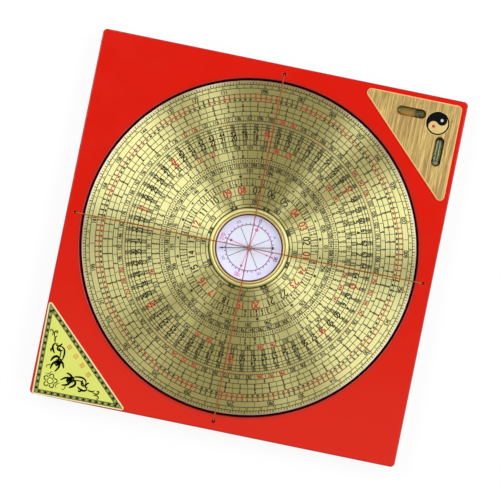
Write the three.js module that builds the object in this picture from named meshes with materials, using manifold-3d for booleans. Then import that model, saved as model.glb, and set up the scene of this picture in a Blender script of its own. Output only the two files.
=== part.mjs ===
// Feng shui compass (luopan), built as its maker assembles it. A square
// board holds a dial that turns in a round recess. The dial carries the
// magnetic compass at its middle. Two crossed threads over the dial mark
// the bearing, and two small vials in a corner plate show when the board
// is level. Millimetres, +Z up, origin at the middle of the underside.

import * as THREE from 'three';
import { mergeVertices } from 'three/addons/utils/BufferGeometryUtils.js';
import Module from 'manifold-3d';

const wasm = await Module();
wasm.setup();

// Gaps that pieces share
const SEAT_GAP = 0.1; // left under a piece that rests on, or is glued to, another
const FIT_GAP = 0.2; // left round a piece that sits in a hole
const TURN_GAP = 0.3; // above and below what turns
const OVERRUN = 2; // how far a cutter runs past the face that it leaves

// Dial plate and turntable
const DIAL_R = 117.1;
const DIAL_PLATE_T = 1;
const DIAL_EDGE = 0.4;
const TURNTABLE_RIM = 1.1; // black rim that shows round the plate
const TURNTABLE_EDGE = 0.4;
const TURNTABLE_FLOOR = 1.8; // below the compass
const RIM_GAP = 0.4; // between the turntable and the recess

// Board
const RIM_WALL = 11.4; // from the recess to the board's side
const BOARD_CORNER_R = 3;
const BOARD_EDGE = 1;
const RECESS_LIP = 0.6;
const WEB_T = 3; // floor between the dial and the pivot's hollow

// Pivot under the dial
const BOSS_R = 7;
const BOSS_GAP = 0.15;
const BUSH_WALL = 1.7;
const BUSH_FLANGE_W = 3;
const SLIP_T = 0.6; // bush flange and slip ring
const SLIP_IN_SHARE = 0.8; // of the dial's radius
const SLIP_OUT_SHARE = 0.92;
const WASHER_LAP = 2; // beyond the bush's hole
const WASHER_T = 0.8;
const PIVOT_SCREW_R = 1.5;
const PIVOT_HEAD_R = 4;
const PIVOT_HEAD_T = 1.4;
const PIVOT_COVER_T = 1.2; // turntable left above the screw's hole

// Back cover
const COVER_T = 1;
const COVER_LAP = 8; // beyond the hollow
const SCREW_ROOM = 0.6; // between the cover and the pivot screw
const HOLLOW_ROOM = 5; // round the washer
const COVER_SCREW_COUNT = 4;
const COVER_SCREW_R = 1;
const COVER_HEAD_R = 2;
const COVER_SCREW_L = 4.5;
const COVER_SCREW_SHARE = 0.5; // of the cover's lap

// Compass
const BEZEL_H = 1.7;
const BEZEL_DROP = 0.4; // bezel's crown below the board's top
const BEZEL_LAP = 2; // over the dial plate
const INNER_BEAD_W = 1.3;
const INNER_BEAD_H = 1.1;
const GROOVE_W = 0.6;
const GROOVE_H = 0.6; // floor of the groove above the bezel's seat
const SKIRT_WALL = 0.5;
const SKIRT_H = 1.6;
const GLASS_LAP = 0.5; // under the bezel
const GLASS_T = 1;
const CASE_WALL = 0.6;
const CASE_FLOOR = 0.8;
const COMPASS_DEPTH = 4; // from the case's floor to the glass
const SPACER_SHOW = 0.5; // dark ring that shows inside the bezel
const NEEDLE_ROOM = 2.1; // between the needle's head and that ring
const CARD_T = 0.3;

// Needle and its pin
const PIN_BASE_R = 2;
const PIN_BASE_T = 0.4;
const PIN_R = 0.5;
const PIN_POINT = 1.5;
const CAP_ROOM = 0.3; // between the cap and the glass
const CAP_R = 1.7;
const CAP_H = 1.2;
const CAP_CROWN = 0.3;
const CAP_DIMPLE_R = 0.8;
const NEEDLE_ANGLE = 10.8; // degrees from +X, as the photograph shows
const NEEDLE_T = 0.3;
const NEEDLE_W = 0.8;
const NEEDLE_EYE_R = 1.7;
const NEEDLE_EYE_BORE_R = 0.9;
const NEEDLE_HEAD_REACH = 20.6;
const NEEDLE_HEAD_L = 2.6;
const NEEDLE_HEAD_W = 1.5;
const NEEDLE_TAIL_REACH = 16.6; // to the middle of the tail's disc
const NEEDLE_TAIL_R = 0.9;

// Crossed threads
const THREAD_R = 0.3;
const THREAD_BEND_R = 1;
const THREAD_HOLE_R = 1;
const THREAD_HOLE_LIP = 0.8;
const THREAD_PLACE_SHARE = 0.44; // of the rim wall, outward from the recess
const KNOT_R = 1.7;
const KNOT_HALF_H = 1.1;
const KNOT_SINK = 0.3; // knot above the board's underside
const KNOT_ROOM = 0.8; // round the knot

// Level plate with its vials
const LEVEL_T = 1;
const LEVEL_LEG = 72;
const LEVEL_INSET = 3.7;
const LEVEL_CORNER_R = 3.2;
const LEVEL_EDGE = 0.25;
const VIAL_ALONG_SHARE = 0.478; // of the leg, from the square corner
const VIAL_ACROSS_SHARE = 0.152;
const VIAL_R = 2.95;
const VIAL_L = 20.2;
const VIAL_WALL = 0.6;
const VIAL_ROOM = 0.3; // between the vial and its slot
const VIAL_SINK = 0.3; // below the plate's top
const PLUG_STEM = 1.5;
const BUBBLE_SIDE_ROOM = 0.75; // between the bubble and the fluid's side
const BUBBLE_ROOM = 0.15; // between the bubble and its channel
const BUBBLE_LENGTH_SHARE = 0.8; // of its width
const BUBBLE_BACK_SHARE = 0.235; // of the bore, back from the middle of the round end

// Corner plaque
const PLAQUE_T = 0.6;
const PLAQUE_LEG = 67;
const PLAQUE_MARGIN = 0.1; // inside the board's rounded edge
const PLAQUE_CORNER_R = 1.8;
const PLAQUE_EDGE = 0.15;

// How finely curves are divided
const BIG_ROUND = 96;
const MIDDLE_ROUND = 48;
const SMALL_ROUND = 16;
const TINY_ROUND = 12;
const CORNER_STEPS = 3;
const EDGE_STEPS = 2;
const BEAD_STEPS = 5;
const END_STEPS = 4;
const BEND_STEPS = 3;
const THREAD_SIDES = 8;

const HALF_TURN = Math.PI;
const QUARTER_TURN = Math.PI / 2;
const FULL_TURN = Math.PI * 2;

// Radii, from the compass outward
const spacerBoreR = NEEDLE_HEAD_REACH + NEEDLE_ROOM;
const bezelBoreR = spacerBoreR + SPACER_SHOW;
const glassR = bezelBoreR + GLASS_LAP;
const caseBoreR = glassR + FIT_GAP;
const caseR = caseBoreR + CASE_WALL;
const skirtBoreR = caseR + FIT_GAP;
const skirtR = skirtBoreR + SKIRT_WALL;
const dialHoleR = skirtR + FIT_GAP;
const bezelR = dialHoleR + BEZEL_LAP;
const turntableR = DIAL_R + TURNTABLE_RIM;
const recessR = turntableR + RIM_GAP;
const boardHalf = recessR + RIM_WALL;
const bushBoreR = BOSS_R + BOSS_GAP;
const bushR = bushBoreR + BUSH_WALL;
const webHoleR = bushR + FIT_GAP;
const washerR = webHoleR + WASHER_LAP;
const hollowR = washerR + HOLLOW_ROOM;
const coverR = hollowR + COVER_LAP;
const coverScrewPlaceR = hollowR + COVER_LAP * COVER_SCREW_SHARE;
const threadPlace = recessR + RIM_WALL * THREAD_PLACE_SHARE;
const pivotHoleR = PIVOT_SCREW_R + FIT_GAP;

// Heights, from the board's underside upward
const screwHeadZ = COVER_T + SCREW_ROOM;
const washerZ = screwHeadZ + PIVOT_HEAD_T;
const washerTopZ = washerZ + WASHER_T;
const bossZ = washerTopZ + SEAT_GAP;
const webZ = washerTopZ + TURN_GAP;
const recessFloorZ = webZ + WEB_T;
const slipZ = recessFloorZ + SEAT_GAP;
const slipTopZ = slipZ + SLIP_T;
const turntableZ = slipTopZ + TURN_GAP;
const pocketZ = turntableZ + TURNTABLE_FLOOR;
const pivotHoleTopZ = pocketZ - PIVOT_COVER_T;
const caseZ = pocketZ + SEAT_GAP;
const caseFloorZ = caseZ + CASE_FLOOR;
const cardZ = caseFloorZ + SEAT_GAP;
const spacerZ = cardZ + CARD_T + SEAT_GAP;
const glassZ = caseFloorZ + COMPASS_DEPTH;
const dialTopZ = glassZ + GLASS_T;
const dialPlateZ = dialTopZ - DIAL_PLATE_T;
const turntableTopZ = dialPlateZ - SEAT_GAP;
const bezelZ = dialTopZ + SEAT_GAP;
const boardTopZ = bezelZ + BEZEL_H + BEZEL_DROP;
const capTopZ = glassZ - CAP_ROOM;
const capZ = capTopZ - CAP_H;
const needleZ = capZ - SEAT_GAP - NEEDLE_T;
const dimpleTopZ = capTopZ - CAP_CROWN;
const pinTopZ = dimpleTopZ - SEAT_GAP;
const levelZ = boardTopZ + SEAT_GAP;
const vialZ = levelZ + LEVEL_T - VIAL_SINK - VIAL_R;
const vialPocketZ = vialZ - VIAL_R - VIAL_ROOM;
const knotRoomTopZ = KNOT_SINK + KNOT_HALF_H + KNOT_HALF_H + SEAT_GAP;

// Square corners of the two corner plates, and the vials' middles
const levelCorner = boardHalf - LEVEL_INSET;
const vialAlong = levelCorner - LEVEL_LEG * VIAL_ALONG_SHARE;
const vialAcross = levelCorner - LEVEL_LEG * VIAL_ACROSS_SHARE;
const plaqueCorner = BOARD_EDGE + PLAQUE_MARGIN - boardHalf;

const part = new THREE.Group();

// Adds one named piece in its own finish
function addPiece(parent, name, geometry, colour, roughness, metalness) {
  const finish = new THREE.MeshStandardMaterial({ color: colour, roughness, metalness });
  const piece = new THREE.Mesh(geometry, finish);
  piece.name = name;
  parent.add(piece);
  return piece;
}

// A solid turned about +Z from its outline of [radius, height] points, which
// runs from axis to axis, or back to its first point, with the solid on its left
function turned(outline, rounds) {
  const points = outline.map(([radius, height]) => new THREE.Vector2(radius, height));
  const geometry = new THREE.LatheGeometry(points, rounds);
  geometry.rotateX(QUARTER_TURN);
  return geometry;
}

// A plain disc or cylinder between two heights
function disc(radius, low, high, rounds) {
  return turned([[0, low], [radius, low], [radius, high], [0, high]], rounds);
}

// A flat ring between two radii and two heights
function ring(inner, outer, low, high, rounds) {
  const outline = [[inner, low], [outer, low], [outer, high], [inner, high], [inner, low]];
  return turned(outline, rounds);
}

// A plate of the outline's full size, eased by edge at both faces
function plate(outline, low, thickness, edge) {
  const geometry = new THREE.ExtrudeGeometry(outline, {
    depth: thickness - edge - edge,
    curveSegments: CORNER_STEPS,
    bevelEnabled: edge > 0,
    bevelThickness: edge,
    bevelSize: edge,
    bevelOffset: -edge,
    bevelSegments: EDGE_STEPS,
  });
  geometry.translate(0, 0, low + edge);
  return geometry;
}

// Closed outline through corners listed anticlockwise, each rounded to one radius
function roundedOutline(corners, radius) {
  const outline = new THREE.Shape();
  corners.forEach((corner, place) => {
    const before = corners[(place + corners.length - 1) % corners.length];
    const after = corners[(place + 1) % corners.length];
    const back = before.clone().sub(corner).normalize();
    const ahead = after.clone().sub(corner).normalize();
    const halfAngle = Math.acos(back.dot(ahead)) / 2;
    const inward = back.clone().add(ahead).normalize();
    const centre = inward.multiplyScalar(radius / Math.sin(halfAngle)).add(corner);
    const reach = radius / Math.tan(halfAngle);
    const start = back.multiplyScalar(reach).add(corner).sub(centre);
    const end = ahead.multiplyScalar(reach).add(corner).sub(centre);
    outline.absarc(centre.x, centre.y, radius, start.angle(), end.angle(), false);
  });
  return outline;
}

// Right triangle with its square corner on the diagonal, legs towards the middle
function cornerTriangle(corner, leg) {
  const far = corner - Math.sign(corner) * leg;
  const points = [[corner, corner], [far, corner], [corner, far]];
  return points.map(([x, y]) => new THREE.Vector2(x, y));
}

// Slot with round ends, along X or turned to lie along Y
function slot(x, y, length, radius, alongY) {
  const half = length / 2 - radius;
  const turn = alongY ? QUARTER_TURN : 0;
  const dx = half * Math.cos(turn);
  const dy = half * Math.sin(turn);
  const outline = new THREE.Shape();
  outline.absarc(x + dx, y + dy, radius, turn - QUARTER_TURN, turn + QUARTER_TURN, false);
  outline.absarc(x - dx, y - dy, radius, turn + QUARTER_TURN, turn + QUARTER_TURN + HALF_TURN, false);
  return outline;
}

// Quarter circle of [radius, height] points about a middle on the axis, from the
// low pole to the widest round
function lowerQuarter(radius, height, middle) {
  return Array.from({ length: END_STEPS + 1 }, (_, step) => {
    const angle = (step / END_STEPS) * QUARTER_TURN;
    return [radius * Math.sin(angle), middle - height * Math.cos(angle)];
  });
}

// Rod between two heights with rounded ends, each end height long
function roundEndedRod(radius, height, low, high) {
  const start = lowerQuarter(radius, height, low);
  const end = lowerQuarter(radius, -height, high).reverse();
  return turned([...start, ...end], SMALL_ROUND);
}

// Solid for cutting and joining, from a geometry whose shared points are merged
function toSolid(geometry) {
  const bare = geometry.index ? geometry.toNonIndexed() : geometry.clone();
  bare.deleteAttribute('normal');
  bare.deleteAttribute('uv');
  const merged = mergeVertices(bare);
  const corners = merged.index.array;
  const kept = [];
  for (let face = 0; face < corners.length; face += 3) {
    const [a, b, c] = corners.slice(face, face + 3);
    if (a !== b && b !== c && c !== a) {
      kept.push(a, b, c);
    }
  }
  return new wasm.Manifold(new wasm.Mesh({
    numProp: 3,
    vertProperties: merged.attributes.position.array,
    triVerts: new Uint32Array(kept),
  }));
}

function toGeometry(solid) {
  const { vertProperties, triVerts } = solid.getMesh();
  const geometry = new THREE.BufferGeometry();
  geometry.setAttribute('position', new THREE.BufferAttribute(vertProperties, 3));
  geometry.setIndex(new THREE.BufferAttribute(triVerts, 1));
  geometry.computeVertexNormals();
  return geometry;
}

function cut(geometry, cutters) {
  const body = cutters.reduce((solid, cutter) => solid.subtract(toSolid(cutter)), toSolid(geometry));
  return toGeometry(body);
}

function joined(geometries) {
  const [first, ...others] = geometries.map(toSolid);
  return toGeometry(others.reduce((solid, other) => solid.add(other), first));
}

// Middles of the four thread holes, on the board's two middle lines
function threadHolePlaces() {
  const sides = [[1, 0], [0, 1], [-1, 0], [0, -1]];
  return sides.map(([x, y]) => [x * threadPlace, y * threadPlace]);
}

// Middles of the cover's screws
function coverScrewPlaces() {
  return Array.from({ length: COVER_SCREW_COUNT }, (_, screw) => {
    const angle = (HALF_TURN + screw * FULL_TURN) / COVER_SCREW_COUNT;
    return [coverScrewPlaceR * Math.cos(angle), coverScrewPlaceR * Math.sin(angle)];
  });
}

// Cutter for a thread's hole: room for the knot below, an eased lip above
function threadHoleCutter([x, y]) {
  const cutter = turned([
    [0, -OVERRUN],
    [KNOT_R + KNOT_ROOM, -OVERRUN],
    [KNOT_R + KNOT_ROOM, knotRoomTopZ],
    [THREAD_HOLE_R, knotRoomTopZ],
    [THREAD_HOLE_R, boardTopZ - THREAD_HOLE_LIP],
    [THREAD_HOLE_R + THREAD_HOLE_LIP, boardTopZ],
    [THREAD_HOLE_R + THREAD_HOLE_LIP, boardTopZ + OVERRUN],
    [0, boardTopZ + OVERRUN],
  ], SMALL_ROUND);
  return cutter.translate(x, y, 0);
}

// Cutter for the dial's recess with its eased lip
function recessCutter() {
  return turned([
    [0, recessFloorZ],
    [recessR, recessFloorZ],
    [recessR, boardTopZ - RECESS_LIP],
    [recessR + RECESS_LIP, boardTopZ],
    [recessR + RECESS_LIP, boardTopZ + OVERRUN],
    [0, boardTopZ + OVERRUN],
  ], BIG_ROUND);
}

// Cutter for the pivot's hollow: the cover's seat, the hollow and the bush's hole
function hollowCutter() {
  return turned([
    [0, -OVERRUN],
    [coverR + FIT_GAP, -OVERRUN],
    [coverR + FIT_GAP, COVER_T + SEAT_GAP],
    [hollowR, COVER_T + SEAT_GAP],
    [hollowR, webZ],
    [webHoleR, webZ],
    [webHoleR, recessFloorZ + OVERRUN],
    [0, recessFloorZ + OVERRUN],
  ], MIDDLE_ROUND);
}

function pilotHoleCutter([x, y]) {
  const hole = disc(COVER_SCREW_R + FIT_GAP, 0, COVER_SCREW_L + FIT_GAP, TINY_ROUND);
  return hole.translate(x, y, 0);
}

function vialSlots() {
  const length = VIAL_L + VIAL_ROOM + VIAL_ROOM;
  const radius = VIAL_R + VIAL_ROOM;
  return [
    slot(vialAlong, vialAcross, length, radius, false),
    slot(vialAcross, vialAlong, length, radius, true),
  ];
}

function vialPocketCutter(outline) {
  return plate(outline, vialPocketZ, boardTopZ + OVERRUN - vialPocketZ, 0);
}

// Board, cut for the dial, the pivot, the threads and the vials
function addBoard() {
  const square = [[1, 1], [-1, 1], [-1, -1], [1, -1]];
  const corners = square.map(([x, y]) => new THREE.Vector2(x * boardHalf, y * boardHalf));
  const slab = plate(roundedOutline(corners, BOARD_CORNER_R), 0, boardTopZ, BOARD_EDGE);
  const board = cut(slab, [
    recessCutter(),
    hollowCutter(),
    ...coverScrewPlaces().map(pilotHoleCutter),
    ...threadHolePlaces().map(threadHoleCutter),
    ...vialSlots().map(vialPocketCutter),
  ]);
  addPiece(part, 'base_board', board, 0xdf2012, 0.25, 0);
}

// What the dial turns on: a brass bush in the web and a felt ring near its edge
function addBearing() {
  const bush = turned([
    [bushBoreR, webZ],
    [bushR, webZ],
    [bushR, slipZ],
    [bushR + BUSH_FLANGE_W, slipZ],
    [bushR + BUSH_FLANGE_W, slipTopZ],
    [bushBoreR, slipTopZ],
    [bushBoreR, webZ],
  ], MIDDLE_ROUND);
  addPiece(part, 'pivot_bush', bush, 0xb08d3c, 0.3, 1);
  const slip = ring(DIAL_R * SLIP_IN_SHARE, DIAL_R * SLIP_OUT_SHARE, slipZ, slipTopZ, MIDDLE_ROUND);
  addPiece(part, 'slip_ring', slip, 0x3a4a3a, 0.95, 0);
}

// Round cover under the pivot, held by countersunk screws
function addBackCover() {
  const places = coverScrewPlaces();
  const countersinks = places.map(([x, y]) => {
    const cone = turned([
      [0, -OVERRUN],
      [COVER_HEAD_R + FIT_GAP, -OVERRUN],
      [COVER_HEAD_R + FIT_GAP, 0],
      [COVER_SCREW_R + FIT_GAP, COVER_T],
      [COVER_SCREW_R + FIT_GAP, COVER_T + OVERRUN],
      [0, COVER_T + OVERRUN],
    ], SMALL_ROUND);
    return cone.translate(x, y, 0);
  });
  const cover = cut(disc(coverR, 0, COVER_T, MIDDLE_ROUND), countersinks);
  addPiece(part, 'back_cover', cover, 0x1c1c1e, 0.5, 0);
  places.forEach(([x, y], place) => {
    const screw = turned([
      [0, 0],
      [COVER_HEAD_R, 0],
      [COVER_SCREW_R, COVER_T],
      [COVER_SCREW_R, COVER_SCREW_L],
      [0, COVER_SCREW_L],
    ], TINY_ROUND);
    const piece = addPiece(part, `cover_screw_${place + 1}`, screw, 0xa8a8a8, 0.35, 1);
    piece.position.set(x, y, 0);
  });
}

// A thread's route: one section at each listed point, square to the way there
class ListedPath extends THREE.Curve {
  constructor(points) {
    super();
    this.points = points;
  }

  getPoint(share) {
    return this.points[Math.round(share * (this.points.length - 1))].clone();
  }

  getPointAt(share) {
    return this.getPoint(share);
  }

  getTangentAt(share) {
    const last = this.points.length - 1;
    const place = Math.round(share * last);
    const after = this.points[Math.min(place + 1, last)];
    const before = this.points[Math.max(place - 1, 0)];
    return after.clone().sub(before).normalize();
  }
}

// Half of a thread, from its knot up its hole and over the lip to the middle
function threadHalf(side, middleZ) {
  const knotMiddleZ = KNOT_SINK + KNOT_HALF_H;
  const runZ = boardTopZ + SEAT_GAP + THREAD_R;
  const points = [new THREE.Vector3(side * threadPlace, 0, knotMiddleZ)];
  for (let step = 0; step <= BEND_STEPS; step += 1) {
    const angle = (step / BEND_STEPS) * QUARTER_TURN;
    const x = threadPlace - THREAD_BEND_R + THREAD_BEND_R * Math.cos(angle);
    const z = runZ - THREAD_BEND_R + THREAD_BEND_R * Math.sin(angle);
    points.push(new THREE.Vector3(side * x, 0, z));
  }
  points.push(new THREE.Vector3(0, 0, middleZ));
  return points;
}

// One taut thread along X, knotted under the board at both ends
function threadGeometry(middleZ) {
  const left = threadHalf(-1, middleZ);
  const right = threadHalf(1, middleZ).slice(0, -1).reverse();
  const route = [...left, ...right];
  const section = new THREE.Shape();
  section.setFromPoints(Array.from({ length: THREAD_SIDES }, (_, side) => {
    const angle = (side / THREAD_SIDES) * FULL_TURN;
    return new THREE.Vector2(THREAD_R * Math.cos(angle), THREAD_R * Math.sin(angle));
  }));
  const cord = new THREE.ExtrudeGeometry(section, {
    steps: route.length - 1,
    extrudePath: new ListedPath(route),
  });
  const knots = [-1, 1].map((side) => {
    const middle = KNOT_SINK + KNOT_HALF_H;
    const knot = roundEndedRod(KNOT_R, KNOT_HALF_H, middle, middle);
    return knot.translate(side * threadPlace, 0, 0);
  });
  return joined([cord, ...knots]);
}

// The second thread rides over the first where they cross
function addThreads() {
  const lowerZ = boardTopZ + SEAT_GAP + THREAD_R;
  const upperZ = lowerZ + THREAD_R + THREAD_R + SEAT_GAP;
  addPiece(part, 'thread_east_west', threadGeometry(lowerZ), 0xc8201c, 0.5, 0);
  const over = addPiece(part, 'thread_north_south', threadGeometry(upperZ), 0xc8201c, 0.5, 0);
  over.rotation.z = QUARTER_TURN;
}

// Triangular wooden plate in the north-east corner, slotted for the vials
function addLevelPlate() {
  const outline = roundedOutline(cornerTriangle(levelCorner, LEVEL_LEG), LEVEL_CORNER_R);
  outline.holes.push(...vialSlots());
  addPiece(part, 'level_plate', plate(outline, levelZ, LEVEL_T, LEVEL_EDGE), 0xc2a562, 0.55, 0);
}

// One vial along +X from its closed end at the group's origin
function addVial(name, x, y, turn) {
  const vial = new THREE.Group();
  vial.position.set(x, y, vialZ);
  vial.rotation.z = turn;
  part.add(vial);

  const lengthwise = (geometry) => geometry.rotateY(QUARTER_TURN);
  const boreR = VIAL_R - VIAL_WALL;
  const mouth = VIAL_L - VIAL_R;
  const tube = turned([
    ...lowerQuarter(VIAL_R, VIAL_R, VIAL_R),
    [VIAL_R, mouth],
    [boreR, mouth],
    ...lowerQuarter(boreR, boreR, VIAL_R).reverse(),
  ], SMALL_ROUND);
  addPiece(vial, `vial_tube_${name}`, lengthwise(tube), 0xdfe8e2, 0.05, 0);

  const stemR = boreR - SEAT_GAP;
  const stemEnd = mouth - PLUG_STEM;
  const seat = mouth + SEAT_GAP;
  const plug = turned([
    [0, stemEnd],
    [stemR, stemEnd],
    [stemR, seat],
    ...lowerQuarter(VIAL_R, SEAT_GAP - VIAL_R, seat).reverse(),
  ], SMALL_ROUND);
  addPiece(vial, `vial_plug_${name}`, lengthwise(plug), 0x2e3a22, 0.4, 0);

  const fluidR = boreR - SEAT_GAP;
  const fluidEnd = stemEnd - SEAT_GAP;
  const fluid = turned([
    ...lowerQuarter(fluidR, fluidR, VIAL_R),
    [fluidR, fluidEnd],
    [0, fluidEnd],
  ], SMALL_ROUND);
  const bubbleR = fluidR - BUBBLE_SIDE_ROOM;
  const bubbleHalfL = bubbleR * BUBBLE_LENGTH_SHARE;
  const bubblePlace = VIAL_R - boreR * BUBBLE_BACK_SHARE;
  const rise = fluidR - bubbleR - SEAT_GAP;
  const channelEnd = bubbleHalfL + BUBBLE_ROOM;
  const farPlace = fluidEnd - channelEnd - BUBBLE_ROOM;
  const channel = roundEndedRod(bubbleR + BUBBLE_ROOM, channelEnd, bubblePlace, farPlace);
  const bubble = roundEndedRod(bubbleR, bubbleHalfL, bubblePlace, bubblePlace);
  const raised = [channel, bubble].map((geometry) => lengthwise(geometry).translate(0, 0, rise));
  const filled = cut(lengthwise(fluid), [raised[0]]);
  addPiece(vial, `vial_fluid_${name}`, filled, 0xa9b84e, 0.05, 0);
  addPiece(vial, `bubble_${name}`, raised[1], 0xf0f4e8, 0.05, 0);
}

function addVials() {
  addVial('x', vialAlong - VIAL_L / 2, vialAcross, 0);
  addVial('y', vialAcross, vialAlong + VIAL_L / 2, -QUARTER_TURN);
}

// Thin printed plate in the south-west corner
function addCornerPlaque() {
  const outline = roundedOutline(cornerTriangle(plaqueCorner, PLAQUE_LEG), PLAQUE_CORNER_R);
  addPiece(part, 'corner_plaque', plate(outline, levelZ, PLAQUE_T, PLAQUE_EDGE), 0xdfe26e, 0.4, 0);
}

// Turntable: a thick disc with the compass pocket above and the pivot boss below
function addTurntable(dial) {
  const turntable = turned([
    [0, pivotHoleTopZ],
    [pivotHoleR, pivotHoleTopZ],
    [pivotHoleR, bossZ],
    [BOSS_R, bossZ],
    [BOSS_R, turntableZ],
    [turntableR - TURNTABLE_EDGE, turntableZ],
    [turntableR, turntableZ + TURNTABLE_EDGE],
    [turntableR, turntableTopZ - TURNTABLE_EDGE],
    [turntableR - TURNTABLE_EDGE, turntableTopZ],
    [dialHoleR, turntableTopZ],
    [dialHoleR, pocketZ],
    [0, pocketZ],
  ], BIG_ROUND);
  addPiece(dial, 'turntable', turntable, 0x141414, 0.45, 0);

  const dialPlate = turned([
    [dialHoleR, dialPlateZ],
    [DIAL_R, dialPlateZ],
    [DIAL_R, dialTopZ - DIAL_EDGE],
    [DIAL_R - DIAL_EDGE, dialTopZ],
    [dialHoleR, dialTopZ],
    [dialHoleR, dialPlateZ],
  ], BIG_ROUND);
  addPiece(dial, 'dial_plate', dialPlate, 0xcbb878, 0.35, 1);

  const washer = ring(pivotHoleR, washerR, washerZ, washerTopZ, MIDDLE_ROUND);
  addPiece(dial, 'retaining_washer', washer, 0xb8b8b8, 0.35, 1);
  const screw = turned([
    [0, screwHeadZ],
    [PIVOT_HEAD_R, screwHeadZ],
    [PIVOT_HEAD_R, washerZ - SEAT_GAP],
    [PIVOT_SCREW_R, washerZ - SEAT_GAP],
    [PIVOT_SCREW_R, pivotHoleTopZ - FIT_GAP],
    [0, pivotHoleTopZ - FIT_GAP],
  ], SMALL_ROUND);
  addPiece(dial, 'pivot_screw', screw, 0xa8a8a8, 0.35, 1);
}

// One bead of the bezel, a half ellipse from its inner foot to its outer foot
function bead(inner, outer, foot, crown) {
  return Array.from({ length: BEAD_STEPS + 1 }, (_, step) => {
    const angle = (step / BEAD_STEPS) * HALF_TURN;
    const radius = (inner + outer) / 2 - ((outer - inner) / 2) * Math.cos(angle);
    return [radius, foot + (crown - foot) * Math.sin(angle)];
  });
}

// Compass: case, card, spacer, glass and bezel, with the needle's pin
function addCompass(dial) {
  const innerBeadR = bezelBoreR + INNER_BEAD_W;
  const innerBead = bead(bezelBoreR, innerBeadR, GROOVE_H, INNER_BEAD_H);
  const outerBead = bead(innerBeadR + GROOVE_W, bezelR, GROOVE_H, BEZEL_H);
  const crown = [...innerBead, ...outerBead].map(([radius, height]) => [radius, bezelZ + height]);
  const bezel = turned([
    [bezelBoreR, bezelZ],
    [skirtBoreR, bezelZ],
    [skirtBoreR, bezelZ - SKIRT_H],
    [skirtR, bezelZ - SKIRT_H],
    [skirtR, bezelZ],
    [bezelR, bezelZ],
    ...crown.reverse(),
    [bezelBoreR, bezelZ],
  ], MIDDLE_ROUND);
  addPiece(dial, 'compass_bezel', bezel, 0xe3cf7a, 0.2, 1);

  const cup = turned([
    [0, caseZ],
    [caseR, caseZ],
    [caseR, dialTopZ],
    [caseBoreR, dialTopZ],
    [caseBoreR, caseFloorZ],
    [0, caseFloorZ],
  ], MIDDLE_ROUND);
  addPiece(dial, 'compass_case', cup, 0xb08d3c, 0.35, 1);

  const card = ring(PIN_BASE_R + FIT_GAP, caseBoreR - FIT_GAP, cardZ, cardZ + CARD_T, MIDDLE_ROUND);
  addPiece(dial, 'compass_card', card, 0xe6ddf0, 0.6, 0);
  const spacer = ring(spacerBoreR, glassR, spacerZ, glassZ - SEAT_GAP, MIDDLE_ROUND);
  addPiece(dial, 'glass_spacer', spacer, 0x3a2416, 0.5, 0);
  addPiece(dial, 'compass_glass', disc(glassR, glassZ, dialTopZ, MIDDLE_ROUND), 0xeef4f6, 0.02, 0);

  const pinBaseTopZ = cardZ + PIN_BASE_T;
  const pin = turned([
    [0, cardZ],
    [PIN_BASE_R, cardZ],
    [PIN_BASE_R, pinBaseTopZ],
    [PIN_R, pinBaseTopZ],
    [PIN_R, pinTopZ - PIN_POINT],
    [0, pinTopZ],
  ], SMALL_ROUND);
  addPiece(dial, 'pivot_pin', pin, 0xb8b8b8, 0.25, 1);
}

// Needle: one flat blade with a head, an eye and a tail disc, and a brass cap
function addNeedle(dial) {
  const needle = new THREE.Group();
  needle.rotation.z = THREE.MathUtils.degToRad(NEEDLE_ANGLE);
  dial.add(needle);

  const headStart = NEEDLE_HEAD_L - NEEDLE_HEAD_REACH;
  const headWide = NEEDLE_HEAD_W / 2;
  const stemWide = NEEDLE_W / 2;
  const outline = new THREE.Shape();
  outline.setFromPoints([
    new THREE.Vector2(-NEEDLE_HEAD_REACH, stemWide),
    new THREE.Vector2(-NEEDLE_HEAD_REACH, -stemWide),
    new THREE.Vector2(headStart - headWide, -headWide),
    new THREE.Vector2(headStart, -stemWide),
    new THREE.Vector2(NEEDLE_TAIL_REACH, -stemWide),
    new THREE.Vector2(NEEDLE_TAIL_REACH, stemWide),
    new THREE.Vector2(headStart, stemWide),
    new THREE.Vector2(headStart - headWide, headWide),
  ]);
  const top = needleZ + NEEDLE_T;
  const strip = plate(outline, needleZ, NEEDLE_T, 0);
  const eye = disc(NEEDLE_EYE_R, needleZ, top, SMALL_ROUND);
  const tail = disc(NEEDLE_TAIL_R, needleZ, top, SMALL_ROUND).translate(NEEDLE_TAIL_REACH, 0, 0);
  const eyeBore = disc(NEEDLE_EYE_BORE_R, needleZ - OVERRUN, top + OVERRUN, SMALL_ROUND);
  const blade = cut(joined([strip, eye, tail]), [eyeBore]);
  addPiece(needle, 'needle_blade', blade, 0x22252a, 0.3, 1);

  const cap = turned([
    [0, dimpleTopZ],
    [CAP_DIMPLE_R, capZ],
    [CAP_R, capZ],
    [CAP_R, dimpleTopZ],
    [CAP_DIMPLE_R, capTopZ],
    [0, capTopZ],
  ], SMALL_ROUND);
  addPiece(needle, 'needle_cap', cap, 0xb5702a, 0.3, 1);
}

addBoard();
addBearing();
addBackCover();
addThreads();
addLevelPlate();
addVials();
addCornerPlaque();
const dial = new THREE.Group();
part.add(dial);
addTurntable(dial);
addCompass(dial);
addNeedle(dial);

export default part;
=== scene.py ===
"""Feng shui compass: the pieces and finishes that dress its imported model.

Shapes are worked out in millimetres, in the model's own frame, and are put into
their meshes in metres. The dial's print, the card's print and the corner plates'
patterns are thin closed solids that stand a little above what carries them.
"""

import math

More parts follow.
